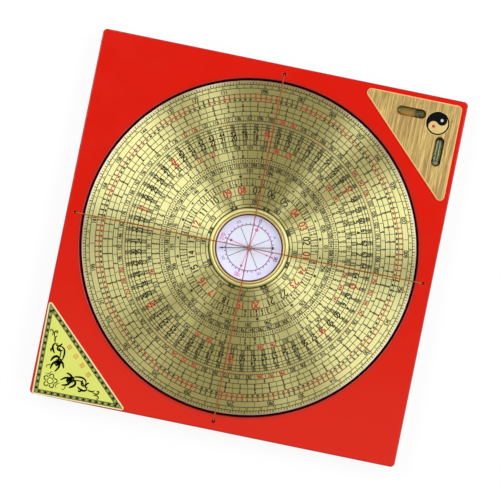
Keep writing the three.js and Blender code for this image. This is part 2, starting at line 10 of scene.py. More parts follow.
import bpy
import numpy as np
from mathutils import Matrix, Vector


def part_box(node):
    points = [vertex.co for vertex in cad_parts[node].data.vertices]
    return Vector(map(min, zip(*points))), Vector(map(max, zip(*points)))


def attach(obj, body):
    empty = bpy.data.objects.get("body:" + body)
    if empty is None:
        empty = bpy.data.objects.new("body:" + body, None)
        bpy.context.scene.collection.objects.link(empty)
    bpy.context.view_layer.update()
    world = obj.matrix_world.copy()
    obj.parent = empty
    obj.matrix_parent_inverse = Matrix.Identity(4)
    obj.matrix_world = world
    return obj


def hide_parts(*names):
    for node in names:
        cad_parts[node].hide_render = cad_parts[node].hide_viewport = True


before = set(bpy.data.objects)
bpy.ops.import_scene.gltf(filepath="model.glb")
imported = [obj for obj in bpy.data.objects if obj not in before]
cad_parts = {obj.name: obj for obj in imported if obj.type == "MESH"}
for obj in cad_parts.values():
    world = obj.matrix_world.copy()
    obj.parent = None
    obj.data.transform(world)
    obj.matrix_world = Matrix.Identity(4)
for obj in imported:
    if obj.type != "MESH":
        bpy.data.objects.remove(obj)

bl_info = {
    "name": "Feng Shui Compass",
    "version": (1, 0, 0),
    "blender": (4, 5, 0),
    "location": "View3D > Sidebar > Compass",
    "description": "Builds the pieces and finishes of a feng shui compass",
    "category": "Add Mesh",
}

MM = 0.001
TURN = 2 * math.pi

# How many sides round shapes have
FINE, ROUNDS, SMALL, TINY = 256, 128, 48, 16
# Angle in degrees past which an edge stays sharp
SHARP_EDGE = 32
# Least square of the mean way at a stroke's corner, which keeps mitres short
SHARPEST = 1.2
# How deep print reaches into what carries it, and other places, in millimetres: floor of the
# vials' pockets, half of a thread's knot, and radius of the ring printed on the card
SUNK, POCKET, KNOT, CARD_RING = 0.02, 12.6, 1.7, 15.9


# ---------------------------------------------------------------- the model

def span(node):
    """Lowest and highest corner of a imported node, in millimetres."""
    low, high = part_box(node)
    return np.array(low) / MM, np.array(high) / MM


def drum(node):
    """Outer radius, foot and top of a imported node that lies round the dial's axis."""
    low, high = span(node)
    return high[0], low[2], high[2]


def reach(node):
    return drum(node)[0]


def bottom(node):
    return drum(node)[1]


def top(node):
    return drum(node)[2]


class Millimetres:
    """Reads a property group's lengths, which Blender keeps in metres."""

    def __init__(self, group):
        self.group = group

    def __getattr__(self, name):
        return getattr(self.group, name) / MM


# ---------------------------------------------------------------- shapes
# A shape is its points, and a list of arrays of faces, each with one number of corners.

def join(*shapes):
    """Several shapes as one: their points in turn, and their faces renumbered to match."""
    points, faces, count = [], [], 0
    for own_points, own_faces in shapes:
        points.append(own_points)
        faces += [some + count for some in own_faces]
        count += len(own_points)
    return np.concatenate(points), faces


def moved(shape, offset):
    """Every point p goes to p + offset."""
    return shape[0] + np.asarray(offset, float), shape[1]


def mapped(shape, rows):
    """Every point p goes to p.rows, whose rows say where the x, y and z axes go."""
    return shape[0] @ np.asarray(rows, float), shape[1]


def spun(points, degrees):
    """Points of a plane turned anticlockwise: (x cos a - y sin a, x sin a + y cos a)."""
    angle = np.radians(degrees)
    c, s = np.cos(angle), np.sin(angle)
    x, y = points[..., 0], points[..., 1]
    return np.stack([x * c - y * s, x * s + y * c], -1)


def wheeled(shape, degrees):
    """Every point is turned anticlockwise about the z axis."""
    points, faces = shape
    return np.column_stack([spun(points[:, :2], degrees), points[:, 2]]), faces


def grid_faces(rows, columns, wrap_rows, wrap_columns):
    """Four-cornered faces between neighbours on a grid, joined end to end where it wraps."""
    i, j = np.meshgrid(
        np.arange(rows if wrap_rows else rows - 1),
        np.arange(columns if wrap_columns else columns - 1),
        indexing="ij",
    )
    k, m = (i + 1) % rows, (j + 1) % columns
    corners = [i * columns + j, k * columns + j, k * columns + m, i * columns + m]
    return np.stack(corners, -1).reshape(-1, 4)


def eased(corners, radii, steps=6):
    """A line through corners, each rounded to its own radius, and its right-hand normals.

    Between the ways in and out, which differ by the angle t, the corner becomes an arc of
    radius r about corner + r (m + n) / (1 + m.n), where m and n are the two inward normals.
    """
    corners = np.asarray(corners, float)
    radii = np.broadcast_to(np.asarray(radii, float), len(corners))[:, None]
    ahead = np.roll(corners, -1, 0) - corners
    ahead /= np.linalg.norm(ahead, axis=1, keepdims=True)
    back = np.roll(ahead, 1, 0)
    cross = back[:, 0] * ahead[:, 1] - back[:, 1] * ahead[:, 0]
    turn = np.degrees(np.arctan2(cross, (back * ahead).sum(1)))
    side = np.sign(cross)[:, None]
    m, n = side * spun(back, 90), side * spun(ahead, 90)
    share = np.where(radii > 0, 1 + (m * n).sum(1, keepdims=True), 1)
    middle = corners + radii * (m + n) / share
    angle = turn[:, None] * np.linspace(0, 1, steps + 1)
    arc = middle[:, None] + radii[:, None] * spun(-m[:, None], angle)
    arc = np.where(radii[:, None] > 0, arc, corners[:, None])
    normals = spun(back[:, None], angle - 90)
    line, normals = arc.reshape(-1, 2), normals.reshape(-1, 2)
    keep = np.append(True, np.linalg.norm(np.diff(line, axis=0), axis=1) > 1e-6)
    return line[keep], normals[keep]


def block(inner, outer, low, high):
    """Square-cornered profile between two radii and two heights."""
    return [(inner, low), (outer, low), (outer, high), (inner, high)]


def softened(inner, outer, low, high, foot, crown, steps=6):
    """That profile with its outer corners rounded to the radii foot and crown."""
    return eased(block(inner, outer, low, high), [0, foot, crown, 0], steps)[0]


def turned(profile, rounds=ROUNDS):
    """A profile turned about the z axis: P(a, s) = (r(s) cos a, r(s) sin a, z(s)).

    The solid lies on the left of the profile, which is a closed loop, or runs from axis to
    axis, where its two ends become single points.
    """
    profile = np.asarray(profile, float)
    loop = profile[0, 0] > 1e-6
    body = profile if loop else profile[1:-1]
    count = len(body)
    angle = np.arange(rounds)[:, None] / rounds * TURN
    r, z = body[:, 0], np.broadcast_to(body[:, 1], (rounds, count))
    points = np.stack([r * np.cos(angle), r * np.sin(angle), z], -1).reshape(-1, 3)
    faces = [grid_faces(rounds, count, True, loop)]
    if not loop:
        low, high = rounds * count, rounds * count + 1
        ends = [[0, 0, profile[0, 1]], [0, 0, profile[-1, 1]]]
        points = np.concatenate([points, ends])
        i = np.arange(rounds)
        j = (i + 1) % rounds
        first = [j * count, i * count, np.full(rounds, low)]
        last = [(i + 1) * count - 1, (j + 1) * count - 1, np.full(rounds, high)]
        faces += [np.stack(first, -1), np.stack(last, -1)]
    return points, faces


def lofted(outline, normals, profile, loop=False):
    """P(u, s) = outline(u) + offset(s) normal(u), at height z(s), with flat ends, or with a
    profile that is a closed loop."""
    profile = np.asarray(profile, float)
    rows, columns = len(outline), len(profile)
    flat = outline[:, None] + normals[:, None] * profile[:, :1]
    height = np.broadcast_to(profile[:, 1:], (rows, columns, 1))
    points = np.concatenate([flat, height], -1).reshape(-1, 3)
    if loop:
        return points, [grid_faces(rows, columns, True, True)]
    start = np.arange(rows)[None] * columns
    ends = [start[:, ::-1], start + columns - 1]
    return points, [grid_faces(rows, columns, True, False), *ends]


def band(first, second, low, high, closed=True):
    """A flat solid between two lines of equally many points, which close round a plate, or
    start together and end together. Each place of the lines gives four points."""
    lines = [(first, low), (first, high), (second, high), (second, low)]
    loops = [np.column_stack([line, np.full(len(line), z)]) for line, z in lines]
    return np.stack(loops, 1).reshape(-1, 3), [grid_faces(len(first), 4, closed, True)]


def strokes(lines, widths, low, high):
    """Flat-topped strokes along many lines of equally many points.

    Every point p of a line moves to p + w h and p - w h, where h is square to the mean of
    the ways in and out, b and a: h = turn90(a + b) / |a + b|^2, which mitres the corners.
    """
    lines = np.asarray(lines, float)
    many, count = lines.shape[:2]
    way = np.diff(lines, axis=1)
    way /= np.linalg.norm(way, axis=2, keepdims=True)
    mean = np.concatenate([way[:, :1], way], 1) + np.concatenate([way, way[:, -1:]], 1)
    size = np.maximum((mean**2).sum(2, keepdims=True), SHARPEST)
    out = spun(mean, 90) / size * np.reshape(widths, (-1, 1, 1))
    right, left = lines - out, lines + out
    flat = np.stack([right, left, left, right], 2)
    height = np.broadcast_to(np.array([high, high, low, low])[:, None], flat.shape[:-1] + (1,))
    points = np.concatenate([flat, height], -1).reshape(-1, 3)
    first = np.arange(many)[:, None, None] * count * 4
    sides = grid_faces(count, 4, False, True) + first
    caps = np.array([np.arange(4), 4 * count - 1 - np.arange(4)]) + first
    return points, [sides.reshape(-1, 4), caps.reshape(-1, 4)]


def swept(path, section, side, closed=False):
    """P(s, u) = path(s) + x(u) side(s) + y(u) up(s), where up is square to side and path."""
    way = np.roll(path, -1, 0) - np.roll(path, 1, 0)
    if not closed:
        way[0], way[-1] = path[1] - path[0], path[-1] - path[-2]
    way /= np.linalg.norm(way, axis=1, keepdims=True)
    side = side - (side * way).sum(1, keepdims=True) * way
    side = side / np.linalg.norm(side, axis=1, keepdims=True)
    up = np.cross(way, side)
    points = path[:, None] + section[..., :1] * side[:, None] + section[..., 1:] * up[:, None]
    rows, columns = points.shape[:2]
    faces = [grid_faces(rows, columns, closed, True)[:, ::-1]]
    if not closed:
        ends = np.arange(columns)[None]
        faces += [ends[:, ::-1], ends + (rows - 1) * columns]
    return points.reshape(-1, 3), faces


def circle(radius, count):
    """Points (r cos a, r sin a), anticlockwise."""
    angle = np.arange(count) / count * TURN
    return radius * np.stack([np.cos(angle), np.sin(angle)], -1)


def half_ellipse(inner, outer, foot, crown, steps=14):
    """Profile over a bead, outward to inward: (m + w cos a, foot + h sin a)."""
    angle = np.linspace(0, math.pi, steps + 1)
    middle, wide = (inner + outer) / 2, (outer - inner) / 2
    return np.stack([middle + wide * np.cos(angle), foot + (crown - foot) * np.sin(angle)], -1)


# ---------------------------------------------------------------- meshes

def linked(name, data):
    """A new object in the scene."""
    thing = bpy.data.objects.new(name, data)
    bpy.context.scene.collection.objects.link(thing)
    return thing


def loose(shape, name="loose"):
    """An object with the shape's mesh, in metres."""
    points, faces = shape
    mesh = bpy.data.meshes.new(name)
    mesh.from_pydata((points * MM).tolist(), [], [f for some in faces for f in some.tolist()])
    return linked(name, mesh)


def settled(thing):
    """The object's mesh with its modifiers applied. The object itself is removed."""
    seen = thing.evaluated_get(bpy.context.evaluated_depsgraph_get())
    mesh = bpy.data.meshes.new_from_object(seen)
    bpy.data.objects.remove(thing)
    return mesh


def as_shape(mesh):
    """A mesh's points, in millimetres, and its faces, sorted by their number of corners."""
    def read(items, name, kind=int, size=1):
        values = np.empty(len(items) * size, kind)
        items.foreach_get(name, values)
        return values

    points = read(mesh.vertices, "co", float, 3).reshape(-1, 3)
    totals, starts = read(mesh.polygons, "loop_total"), read(mesh.polygons, "loop_start")
    corners = read(mesh.loops, "vertex_index")
    faces = [corners[starts[totals == n][:, None] + np.arange(n)] for n in np.unique(totals)]
    return points / MM, faces


def cut(shape, *cutters):
    """The shape less each cutter in turn, by exact Booleans."""
    body = loose(shape)
    tools = [loose(cutter) for cutter in cutters]
    for tool in tools:
        step = body.modifiers.new("cut", "BOOLEAN")
        step.object, step.operation, step.solver = tool, "DIFFERENCE", "EXACT"
    result = as_shape(settled(body))
    for tool in tools:
        bpy.data.objects.remove(tool)
    return result


def piece(name, shape, body, material, stands_for=(), flat=False):
    """A finished piece on its body. Curved parts are shaded smooth between sharp edges."""
    thing = loose(shape, name)
    if not flat:
        thing.data.shade_smooth()
        thing.data.set_sharp_from_angle(angle=math.radians(SHARP_EDGE))
        even = thing.modifiers.new("even", "WEIGHTED_NORMAL")
        even.keep_sharp = True
        thing = linked(name, settled(thing))
    thing.data.name = name
    repaint(thing, material)
    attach(thing, body)
    if stands_for:
        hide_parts(*stands_for)


def repaint(thing, material):
    """Gives its one material to a piece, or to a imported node, which keeps its mesh."""
    thing.data.materials.clear()
    thing.data.materials.append(material)


# ---------------------------------------------------------------- finishes

class Nodes:
    """Adds nodes to a tree. A socket's value is linked if it is a socket, and set if not."""

    def __init__(self, tree):
        self.tree = tree

    def add(self, kind, inputs=None, **settings):
        node = self.tree.nodes.new("ShaderNode" + kind)
        for key, value in settings.items():
            setattr(node, key, value)
        for socket, value in (inputs or {}).items():
            if isinstance(value, bpy.types.NodeSocket):
                self.tree.links.new(value, node.inputs[socket])
            else:
                node.inputs[socket].default_value = value
        return node

    def math(self, operation, a, b=0.0):
        return self.add("Math", {0: a, 1: b}, operation=operation).outputs[0]

    def between(self, value, low, high, to_low=0.0, to_high=1.0):
        inputs = {"Value": value, "From Min": low, "From Max": high}
        inputs.update({"To Min": to_low, "To Max": to_high})
        return self.add("MapRange", inputs).outputs["Result"]

    def beyond(self, value, low, high):
        """Rises from 0 to 1 between two places in millimetres."""
        return self.between(value, low * MM, high * MM)

    def within(self, value, low, high):
        """Falls from 1 to 0 between two places in millimetres."""
        return self.between(value, low * MM, high * MM, 1.0, 0.0)

    def radius(self, place):
        """Distance from the z axis."""
        flat = self.add("VectorMath", {0: place, 1: (1, 1, 0)}, operation="MULTIPLY")
        return self.add("VectorMath", {0: flat.outputs[0]}, operation="LENGTH").outputs["Value"]

    def mix(self, factor, a, b, blend="MIX"):
        """Two colours mixed, each a socket or three figures."""
        a, b = (c if isinstance(c, bpy.types.NodeSocket) else (*c, 1) for c in (a, b))
        node = self.add("Mix", {0: factor, 6: a, 7: b}, data_type="RGBA", blend_type=blend)
        return node.outputs[2]

    def noise(self, vector, scale, detail=3.0, **inputs):
        values = {"Vector": vector, "Scale": scale, "Detail": detail, **inputs}
        return self.add("TexNoise", values).outputs["Fac"]


def emptied(owner):
    """The nodes of a material or world, with none in it yet."""
    owner.use_nodes = True
    owner.node_tree.nodes.clear()
    return Nodes(owner.node_tree)


def group(name, inputs, outputs, build):
    """A shader node group, built once. Its inputs are {name: default}."""
    found = bpy.data.node_groups.get(name)
    if found:
        return found
    made = bpy.data.node_groups.new(name, "ShaderNodeTree")
    for socket, value in inputs.items():
        kind = {3: "Vector", 4: "Color"}.get(np.size(value), "Float")
        new = made.interface.new_socket(socket, in_out="INPUT", socket_type="NodeSocket" + kind)
        new.default_value = value
    for socket, kind in outputs.items():
        made.interface.new_socket(socket, in_out="OUTPUT", socket_type="NodeSocket" + kind)
    nodes = Nodes(made)
    start = made.nodes.new("NodeGroupInput")
    end = made.nodes.new("NodeGroupOutput")
    for socket, value in build(nodes, start.outputs).items():
        made.links.new(value, end.inputs[socket])
    return made


def handled_surface():
    """Broad mottling between two colours, handling marks in the roughness, and fine grain."""
    def build(nodes, given):
        broad = nodes.noise(given["Place"], given["Mottle"], 4.0)
        marks = nodes.noise(given["Place"], nodes.math("MULTIPLY", given["Mottle"], 3.7), 6.0)
        fine = nodes.noise(given["Place"], given["Grain"], 2.0)
        mask = nodes.between(broad, 0.32, 0.68)
        colour = nodes.mix(mask, given["Colour"], given["Deep"])
        rough = nodes.between(marks, 0.3, 0.7, given["Smooth"], given["Rough"])
        return {"Colour": colour, "Roughness": rough, "Height": fine}

    grey = (0.5, 0.5, 0.5, 1)
    inputs = {"Place": (0, 0, 0), "Mottle": 30.0, "Grain": 2000.0, "Colour": grey, "Deep": grey}
    inputs.update({"Smooth": 0.3, "Rough": 0.5})
    outputs = {"Colour": "Color", "Roughness": "Float", "Height": "Float"}
    return group("handled surface", inputs, outputs, build)


def turning_lines():
    """Fine concentric lines round the z axis: noise of the radius alone."""
    def build(nodes, given):
        count = nodes.math("DIVIDE", nodes.radius(given["Place"]), given["Pitch"])
        inputs = {"W": count, "Scale": 1.0, "Detail": 3.0}
        return {"Lines": nodes.add("TexNoise", inputs, noise_dimensions="1D").outputs["Fac"]}

    inputs = {"Place": (0, 0, 0), "Pitch": 0.0005}
    return group("turning lines", inputs, {"Lines": "Float"}, build)


def finish(name, colour, deep=0.8, smooth=0.3, rough=0.45, mottle=30.0, grain=2000.0,
           relief=0.01, layer=None, shine=0.5, sheen=0.0, tangent=None, clear=False, **fixed):
    """A material. Its second colour is deep times the first, and relief is the grain's height
    in millimetres. A layer may change the colour, roughness and height. What is the same all
    over is set on the shader. Light passes straight through a clear one."""
    found = bpy.data.materials.get(name)
    if found:
        return found
    made = bpy.data.materials.new(name)
    nodes = emptied(made)
    place = nodes.add("TexCoord").outputs["Object"]
    inputs = {"Place": place, "Mottle": mottle, "Grain": grain, "Colour": (*colour, 1),
              "Deep": (*(c * deep for c in colour), 1), "Smooth": smooth, "Rough": rough}
    surface = nodes.add("Group", inputs, node_tree=handled_surface())
    looks = {key: surface.outputs[key] for key in ("Colour", "Roughness", "Height")}
    if layer:
        looks.update(layer(nodes, place, looks))
    bump = nodes.add("Bump", {"Height": looks["Height"], "Strength": 1.0, "Distance": relief * MM})
    sockets = {"Base Color": looks["Colour"], "Roughness": looks["Roughness"],
               "Normal": bump.outputs["Normal"], "Specular IOR Level": shine,
               "Sheen Weight": sheen, **fixed}
    if tangent:
        sockets["Tangent"] = nodes.add("Tangent", direction_type="RADIAL", axis=tangent).outputs[0]
    shader = nodes.add("BsdfPrincipled", sockets).outputs[0]
    if clear:
        passed = nodes.add("BsdfTransparent", {"Color": (*colour, 1)}).outputs[0]
        shadow = nodes.add("LightPath").outputs["Is Shadow Ray"]
        shader = nodes.add("MixShader", {0: shadow, 1: shader, 2: passed}).outputs[0]
    nodes.add("OutputMaterial", {"Surface": shader})
    return made


def lacquer(colours):
    """Red lacquer: nearly even, with a faint orange-peel surface. Its colour is painted darker
    along the board's outer edges and round the recess's lip: painted shade."""
    half, lip = reach("base_board"), reach("turntable")

    def layer(nodes, place, looks):
        across, forth, _ = nodes.add("SeparateXYZ", {0: place}).outputs
        far = nodes.math("MAXIMUM", nodes.math("ABSOLUTE", across), nodes.math("ABSOLUTE", forth))
        # Painted shade: darker lacquer colour along the board's outer edges and round the recess's
        # lip
        edge = nodes.beyond(far, half - 1.5, half - 0.7)
        near = nodes.within(nodes.radius(place), lip + 1.6, lip + 2.6)
        mask = nodes.math("MAXIMUM", edge, near)
        return {"Colour": nodes.mix(mask, looks["Colour"], colours.thick_lacquer)}

    return finish("red lacquer", colours.lacquer, 0.97, 0.17, 0.23, 14.0, 420.0, 0.008, layer, 0.4)


def brushed(name, colour, deep, smooth, rough, pitch, relief, spread, tint=None, turn=0.25):
    """Metal brushed or turned in circles round the z axis. Its lines lie pitch apart."""
    def layer(nodes, place, looks):
        inputs = {"Place": place, "Pitch": pitch * MM}
        lines = nodes.add("Group", inputs, node_tree=turning_lines()).outputs["Lines"]
        shade = nodes.between(lines, 0.3, 0.7, 0.93, 1.05)
        grey = nodes.add("CombineColor", {0: shade, 1: shade, 2: shade}).outputs[0]
        colour = nodes.mix(1.0, looks["Colour"], grey, "MULTIPLY")
        if tint:
            colour = tint(nodes, nodes.radius(place), colour)
        return {"Colour": colour, "Height": lines}

    fixed = {"Metallic": 1.0, "Anisotropic": spread, "Anisotropic Rotation": turn}
    return finish(name, colour, deep, smooth, rough, 18.0, 900.0, relief, layer, tangent="Z",
                  **fixed)


def dial_gold(colours):
    """Brushed gold, with a painted silvery highlight along the plate's rim."""
    def tint(nodes, radius, colour):
        # Painted highlight: a paler silvery colour along the plate's rim, where its edge catches
        # the lamps
        return nodes.mix(nodes.beyond(radius, 116.1, 116.3), colour, colours.rim)

    return brushed("dial gold", colours.gold, 0.94, 0.36, 0.41, 0.35, 0.0015, 1.0, tint)


def bezel_gold(colours, groove):
    """Polished gold, more orange on the inner bead, and painted darker in the groove: painted
    shade.
    """
    def tint(nodes, radius, colour):
        # Painted shade: the groove between the beads is coloured dark
        painted_groove_shade = nodes.within(radius, groove + 0.32, groove + 0.42)
        colour = nodes.mix(painted_groove_shade, colour, colours.groove)
        return nodes.mix(nodes.within(radius, groove - 0.1, groove), colour, colours.inner_bead)

    return brushed("bezel gold", colours.bezel, 0.95, 0.33, 0.39, 0.2, 0.0006, 0.7, tint, 0.0)


def level_wood(colours):
    """Veneer: grain along the y axis, in pale and dark streaks with short pores."""
    def layer(nodes, place, looks):
        def grain(share, scale, detail=3.0, **inputs):
            """Noise drawn out along the y axis, which counts only by its share."""
            drawn = nodes.add("Mapping", {"Vector": place, "Scale": (1, share, 1)})
            return nodes.noise(drawn.outputs["Vector"], scale, detail, **inputs)

        fibres, pores = grain(0.03, 1700.0), grain(0.09, 1300.0, 1.0)
        streak = nodes.between(grain(0.035, 950.0, Distortion=0.25), 0.43, 0.58, 0.0, 0.85)
        colour = nodes.mix(streak, colours.wood, colours.wood_dark)
        fine = nodes.between(fibres, 0.44, 0.58, 0.0, 0.6)
        colour = nodes.mix(fine, colour, colours.wood_dark)
        specks = nodes.between(pores, 0.62, 0.7, 0.0, 0.65)
        colour = nodes.mix(specks, colour, [c * 0.5 for c in colours.wood_dark])
        return {"Colour": colour, "Height": nodes.math("SUBTRACT", fibres, specks)}

    return finish("level wood", colours.wood, 0.9, 0.38, 0.55, 60.0, 2000.0, 0.03, layer)


def ink(name, colour, shine=0.25):
    return finish(name, colour, 0.7, 0.45, 0.65, 120.0, 3000.0, 0.002, shine=shine)


def glass(name, colour, refraction, shine=0.5, relief=0.0008, haze=0.0):
    """Clear glass or liquid, with a breath of unevenness in its surface."""
    fixed = {"Transmission Weight": 1.0, "IOR": refraction}
    return finish(name, colour, 0.985, haze, haze * 1.2, 60.0, 300.0, relief, shine=shine,
                  clear=True, **fixed)


# ---------------------------------------------------------------- marks

# Numerals, each one stroke of nine points on a grid four wide and eight high
NUMERALS = np.array([
    [(1, 0), (3, 0), (4, 2), (4, 6), (3, 8), (1, 8), (0, 6), (0, 2), (1, 0)],
    [(0.8, 6.4), (1.4, 7.2), (2, 8), (2, 6.7), (2, 5.3), (2, 4), (2, 2.7), (2, 1.3), (2, 0)],
    [(0, 6.4), (1, 8), (3, 8), (4, 6.6), (4, 5.2), (2, 2.6), (0, 0), (2, 0), (4, 0)],
    [(0, 7.2), (1.2, 8), (3.2, 8), (4, 6.2), (2.2, 4.4), (4, 2.4), (3, 0), (1, 0), (0, 1)],
    [(3, 0), (3, 2), (3, 4), (3, 6), (3, 8), (1.5, 5.3), (0, 2.6), (2, 2.6), (4, 2.6)],
    [(4, 8), (2, 8), (0.4, 8), (0.2, 4.6), (2.6, 5), (4, 3.6), (4, 1.6), (2.8, 0), (0, 0.4)],
    [(3.6, 7.6), (1.6, 8), (0, 5), (0, 2), (1.2, 0), (3, 0), (4, 1.8), (3, 4.2), (0.2, 3.4)],
    [(0, 8), (2, 8), (4, 8), (3.3, 6.4), (2.6, 4.8), (2, 3.4), (1.6, 2.2), (1.4, 1), (1.2, 0)],
    [(2, 4.3), (0.3, 6.2), (2, 8), (3.7, 6.2), (2, 4.3), (0, 2.1), (2, 0), (4, 2.1), (2, 4.3)],
    [(0.4, 0.4), (2.4, 0), (4, 3), (4, 6), (2.8, 8), (1, 8), (0, 6.2), (1, 3.8), (3.8, 4.6)],
], float)
# From one numeral to the next, and from a stacked number's middle to its numerals' middles
NUMERAL_STEP, STACK_STEP = 5.6, 5.4


def digits(value, height, pad=1):
    """The strokes of a number's numerals side by side, centred on nothing."""
    found = [int(d) for d in str(value).zfill(pad)]
    lines = NUMERALS[found] - (2, 4)
    lines[..., 0] += ((np.arange(len(found)) - (len(found) - 1) / 2) * NUMERAL_STEP)[:, None]
    return lines * height / 8


def stacked(value, height):
    """A two-figure number with its tens above its units."""
    lines = NUMERALS[[value // 10 % 10, value % 10]] - (2, 4)
    lines[..., 1] += np.array([[STACK_STEP], [-STACK_STEP]])
    return lines * height / 8


def bars(pattern, height):
    """Lines one above another, whole where the pattern has 1 and broken where it has 0."""
    count = len(pattern)
    level = (np.arange(count) / max(count - 1, 1) - 0.5) * height
    wide = max(height, 2.0) * 0.5
    found = []
    for y, whole in zip(level, pattern):
        ends = [(-wide, wide)] if whole else [(-wide, -0.2 * wide), (0.2 * wide, wide)]
        found += [[(a, y), (b, y)] for a, b in ends]
    return np.array(found)


def broken_lines(value, count):
    """The binary figures of a value, lowest first: the old order of the broken lines."""
    return [value >> k & 1 for k in range(count)]


def star(height):
    """Three strokes through one middle."""
    return spun(np.array([[(0, -1), (0, 1)]] * 3) * height / 2, np.array([[0], [60], [120]]))


class Print:
    """Flat marks kept by ink until their pieces are made."""

    def __init__(self):
        self.lots = {}

    def add(self, ink_name, lines, width):
        lines = np.asarray(lines, float)
        widths = np.broadcast_to(width, len(lines))
        self.lots.setdefault((ink_name, lines.shape[1]), []).append((lines, widths))

    def round_mark(self, ink_name, lines, width, angle, radius):
        """Strokes in a mark's own plane, u clockwise and v outward, go to the place
        (radius + v) outward + u clockwise at that angle."""
        a = np.radians(angle)
        outward, clockwise = np.array([np.cos(a), np.sin(a)]), np.array([np.sin(a), -np.cos(a)])
        place = (radius + lines[..., 1:]) * outward + lines[..., :1] * clockwise
        self.add(ink_name, place, width)

    def spokes(self, ink_name, angles, inner, outer, width):
        """Straight lines outward at many angles, between two radii or each its own two."""
        a = np.radians(np.asarray(angles, float))[:, None, None]
        way = np.concatenate([np.cos(a), np.sin(a)], -1)
        ends = np.stack(np.broadcast_arrays(inner, outer), -1)
        self.add(ink_name, way * ends[..., None], width)

    def shape(self, ink_name, low, high):
        made = []
        for (name, _), lots in sorted(self.lots.items()):
            if name == ink_name:
                lines, widths = (np.concatenate(part) for part in zip(*lots))
                made.append(strokes(lines, widths, low, high))
        return join(*made)


# ---------------------------------------------------------------- board

def board(sizes, colours):
    """Square lacquered board: recess, pivot hollow, thread holes, vial pockets."""
    half, _, height = span("base_board")[1]
    edge, above, below = sizes.board_edge, height + 2, -2
    square = [(half, -half), (half, half), (-half, half), (-half, -half)]
    outline, normals = eased(square, sizes.board_corner, 10)
    slab = lofted(outline, normals, softened(-2, 0, 0, height, edge, edge, 7))

    def lipped(radius, floor, lip):
        """Profile of a hole with a rounded lip, from a floor up past the board's top."""
        angle = np.linspace(math.pi, math.pi / 2, 8)
        x = radius + lip + lip * np.cos(angle)
        z = height - lip + lip * np.sin(angle)
        over = [(radius + lip, above), (0, above)]
        return np.concatenate([[(0, floor), (radius, floor)], np.stack([x, z], -1), over])

    floor, web = bottom("slip_ring") - 0.1, bottom("pivot_bush")
    cover_r, cover_t = reach("back_cover") + 0.2, top("back_cover") + 0.1
    bush_r, hollow_r = 9.05, 16.05
    hollow = [(0, below), (cover_r, below), (cover_r, cover_t), (hollow_r, cover_t),
              (hollow_r, web), (bush_r, web), (bush_r, floor + 2), (0, floor + 2)]
    recess = lipped(reach("turntable") + sizes.rim_gap, floor, sizes.recess_lip)
    cutters = [turned(recess, FINE), turned(hollow)]
    pilot = turned(block(0, 1.2, 0, 4.7), TINY)
    cutters += [moved(pilot, (x, y, 0)) for x, y in screw_places()]
    well_r, well_t, bore = 2.5, 2.6, 1.0
    well = [(0, below), (well_r, below), (well_r, well_t)]
    room = np.concatenate([well, lipped(bore, well_t, sizes.hole_lip)[1:]])
    room = turned(room, SMALL)
    cutters += [moved(room, (x, y, 0)) for x, y in hole_places()]
    cutters += [lofted(*slot, [(0, POCKET), (0, above)]) for slot in vial_slots()]
    piece("board", cut(slab, *cutters), "board", lacquer(colours), ["base_board"])


def screw_places():
    """Middles of the back cover's screws."""
    names = [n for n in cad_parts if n.startswith("cover_screw")]
    return [(sum(span(n))[:2] / 2).tolist() for n in sorted(names)]


def hole_places():
    """Middles of the four thread holes."""
    end = span("thread_east_west")[1][0] - KNOT
    return [(end, 0), (0, end), (-end, 0), (0, -end)]


def vial_slots():
    """Outline and normals of the round-ended opening round each vial."""
    found = []
    for name in ("vial_tube_x", "vial_tube_y"):
        low, high = span(name)
        lower, higher = span(name.replace("tube", "plug"))
        low, high = np.minimum(low, lower)[:2] - 0.3, np.maximum(high, higher)[:2] + 0.3
        corners = [(high[0], low[1]), (high[0], high[1]), (low[0], high[1]), (low[0], low[1])]
        found.append(eased(corners, min(high - low) / 2 - 0.01, 10))
    return found


def underside(sizes, colours):
    """Bearing, back cover, screws: what holds the dial and closes its hollow."""
    black = finish("cover black", colours.cover, 0.75, 0.42, 0.6, 40.0, 1600.0, 0.03)
    steel = brushed("screw steel", colours.steel, 0.85, 0.22, 0.36, 0.15, 0.001, 0.4)
    brass = brushed("case brass", colours.brass, 0.85, 0.24, 0.38, 0.2, 0.001, 0.4)
    felt = finish("felt", colours.felt, 0.7, 0.9, 1.0, 300.0, 4000.0, 0.15, sheen=0.5)
    for material, nodes in ((felt, ["slip_ring"]), (brass, ["pivot_bush", "compass_case"]),
                            (steel, ["retaining_washer", "pivot_screw", "pivot_pin"])):
        for node in nodes:
            repaint(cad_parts[node], material)

    radius, _, thick = drum("back_cover")
    cone = [(0, -2), (2.2, -2), (2.2, 0), (1.2, thick), (1.2, thick + 2), (0, thick + 2)]
    cone = turned(cone, SMALL)
    holes = [moved(cone, (x, y, 0)) for x, y in screw_places()]
    plate = cut(turned(softened(0, radius, 0, thick, 0.3, 0.1)), *holes)
    piece("back_cover_plate", plate, "board", black, ["back_cover"])

    screw = cover_screw()
    for place, (x, y) in enumerate(screw_places(), 1):
        shape = moved(wheeled(screw, 25 * place), (x, y, 0))
        piece(f"screw_{place}", shape, "board", steel, [f"cover_screw_{place}"])


def cover_screw():
    """Countersunk screw with a cross recess: head cone, threaded shank, point down."""
    step = np.arange(12)
    ridge = np.stack([np.where(step % 2, 0.82, 1.0), 1.25 + step * 0.22], -1)
    head, point = [(0, 0.02), (1.9, 0.02), (2, 0.1), (1, 1)], [(0.8, 4), (0.3, 4.45), (0, 4.5)]
    line, normals = eased([(1.1, -0.22), (1.1, 0.22), (-1.1, 0.22), (-1.1, -0.22)], 0)
    arm = lofted(line, normals, [(0, -1), (0, 0.02), (-0.12, 0.75)])
    return cut(turned(np.concatenate([head, ridge, point]), SMALL), arm, wheeled(arm, 90))


# ---------------------------------------------------------------- dial

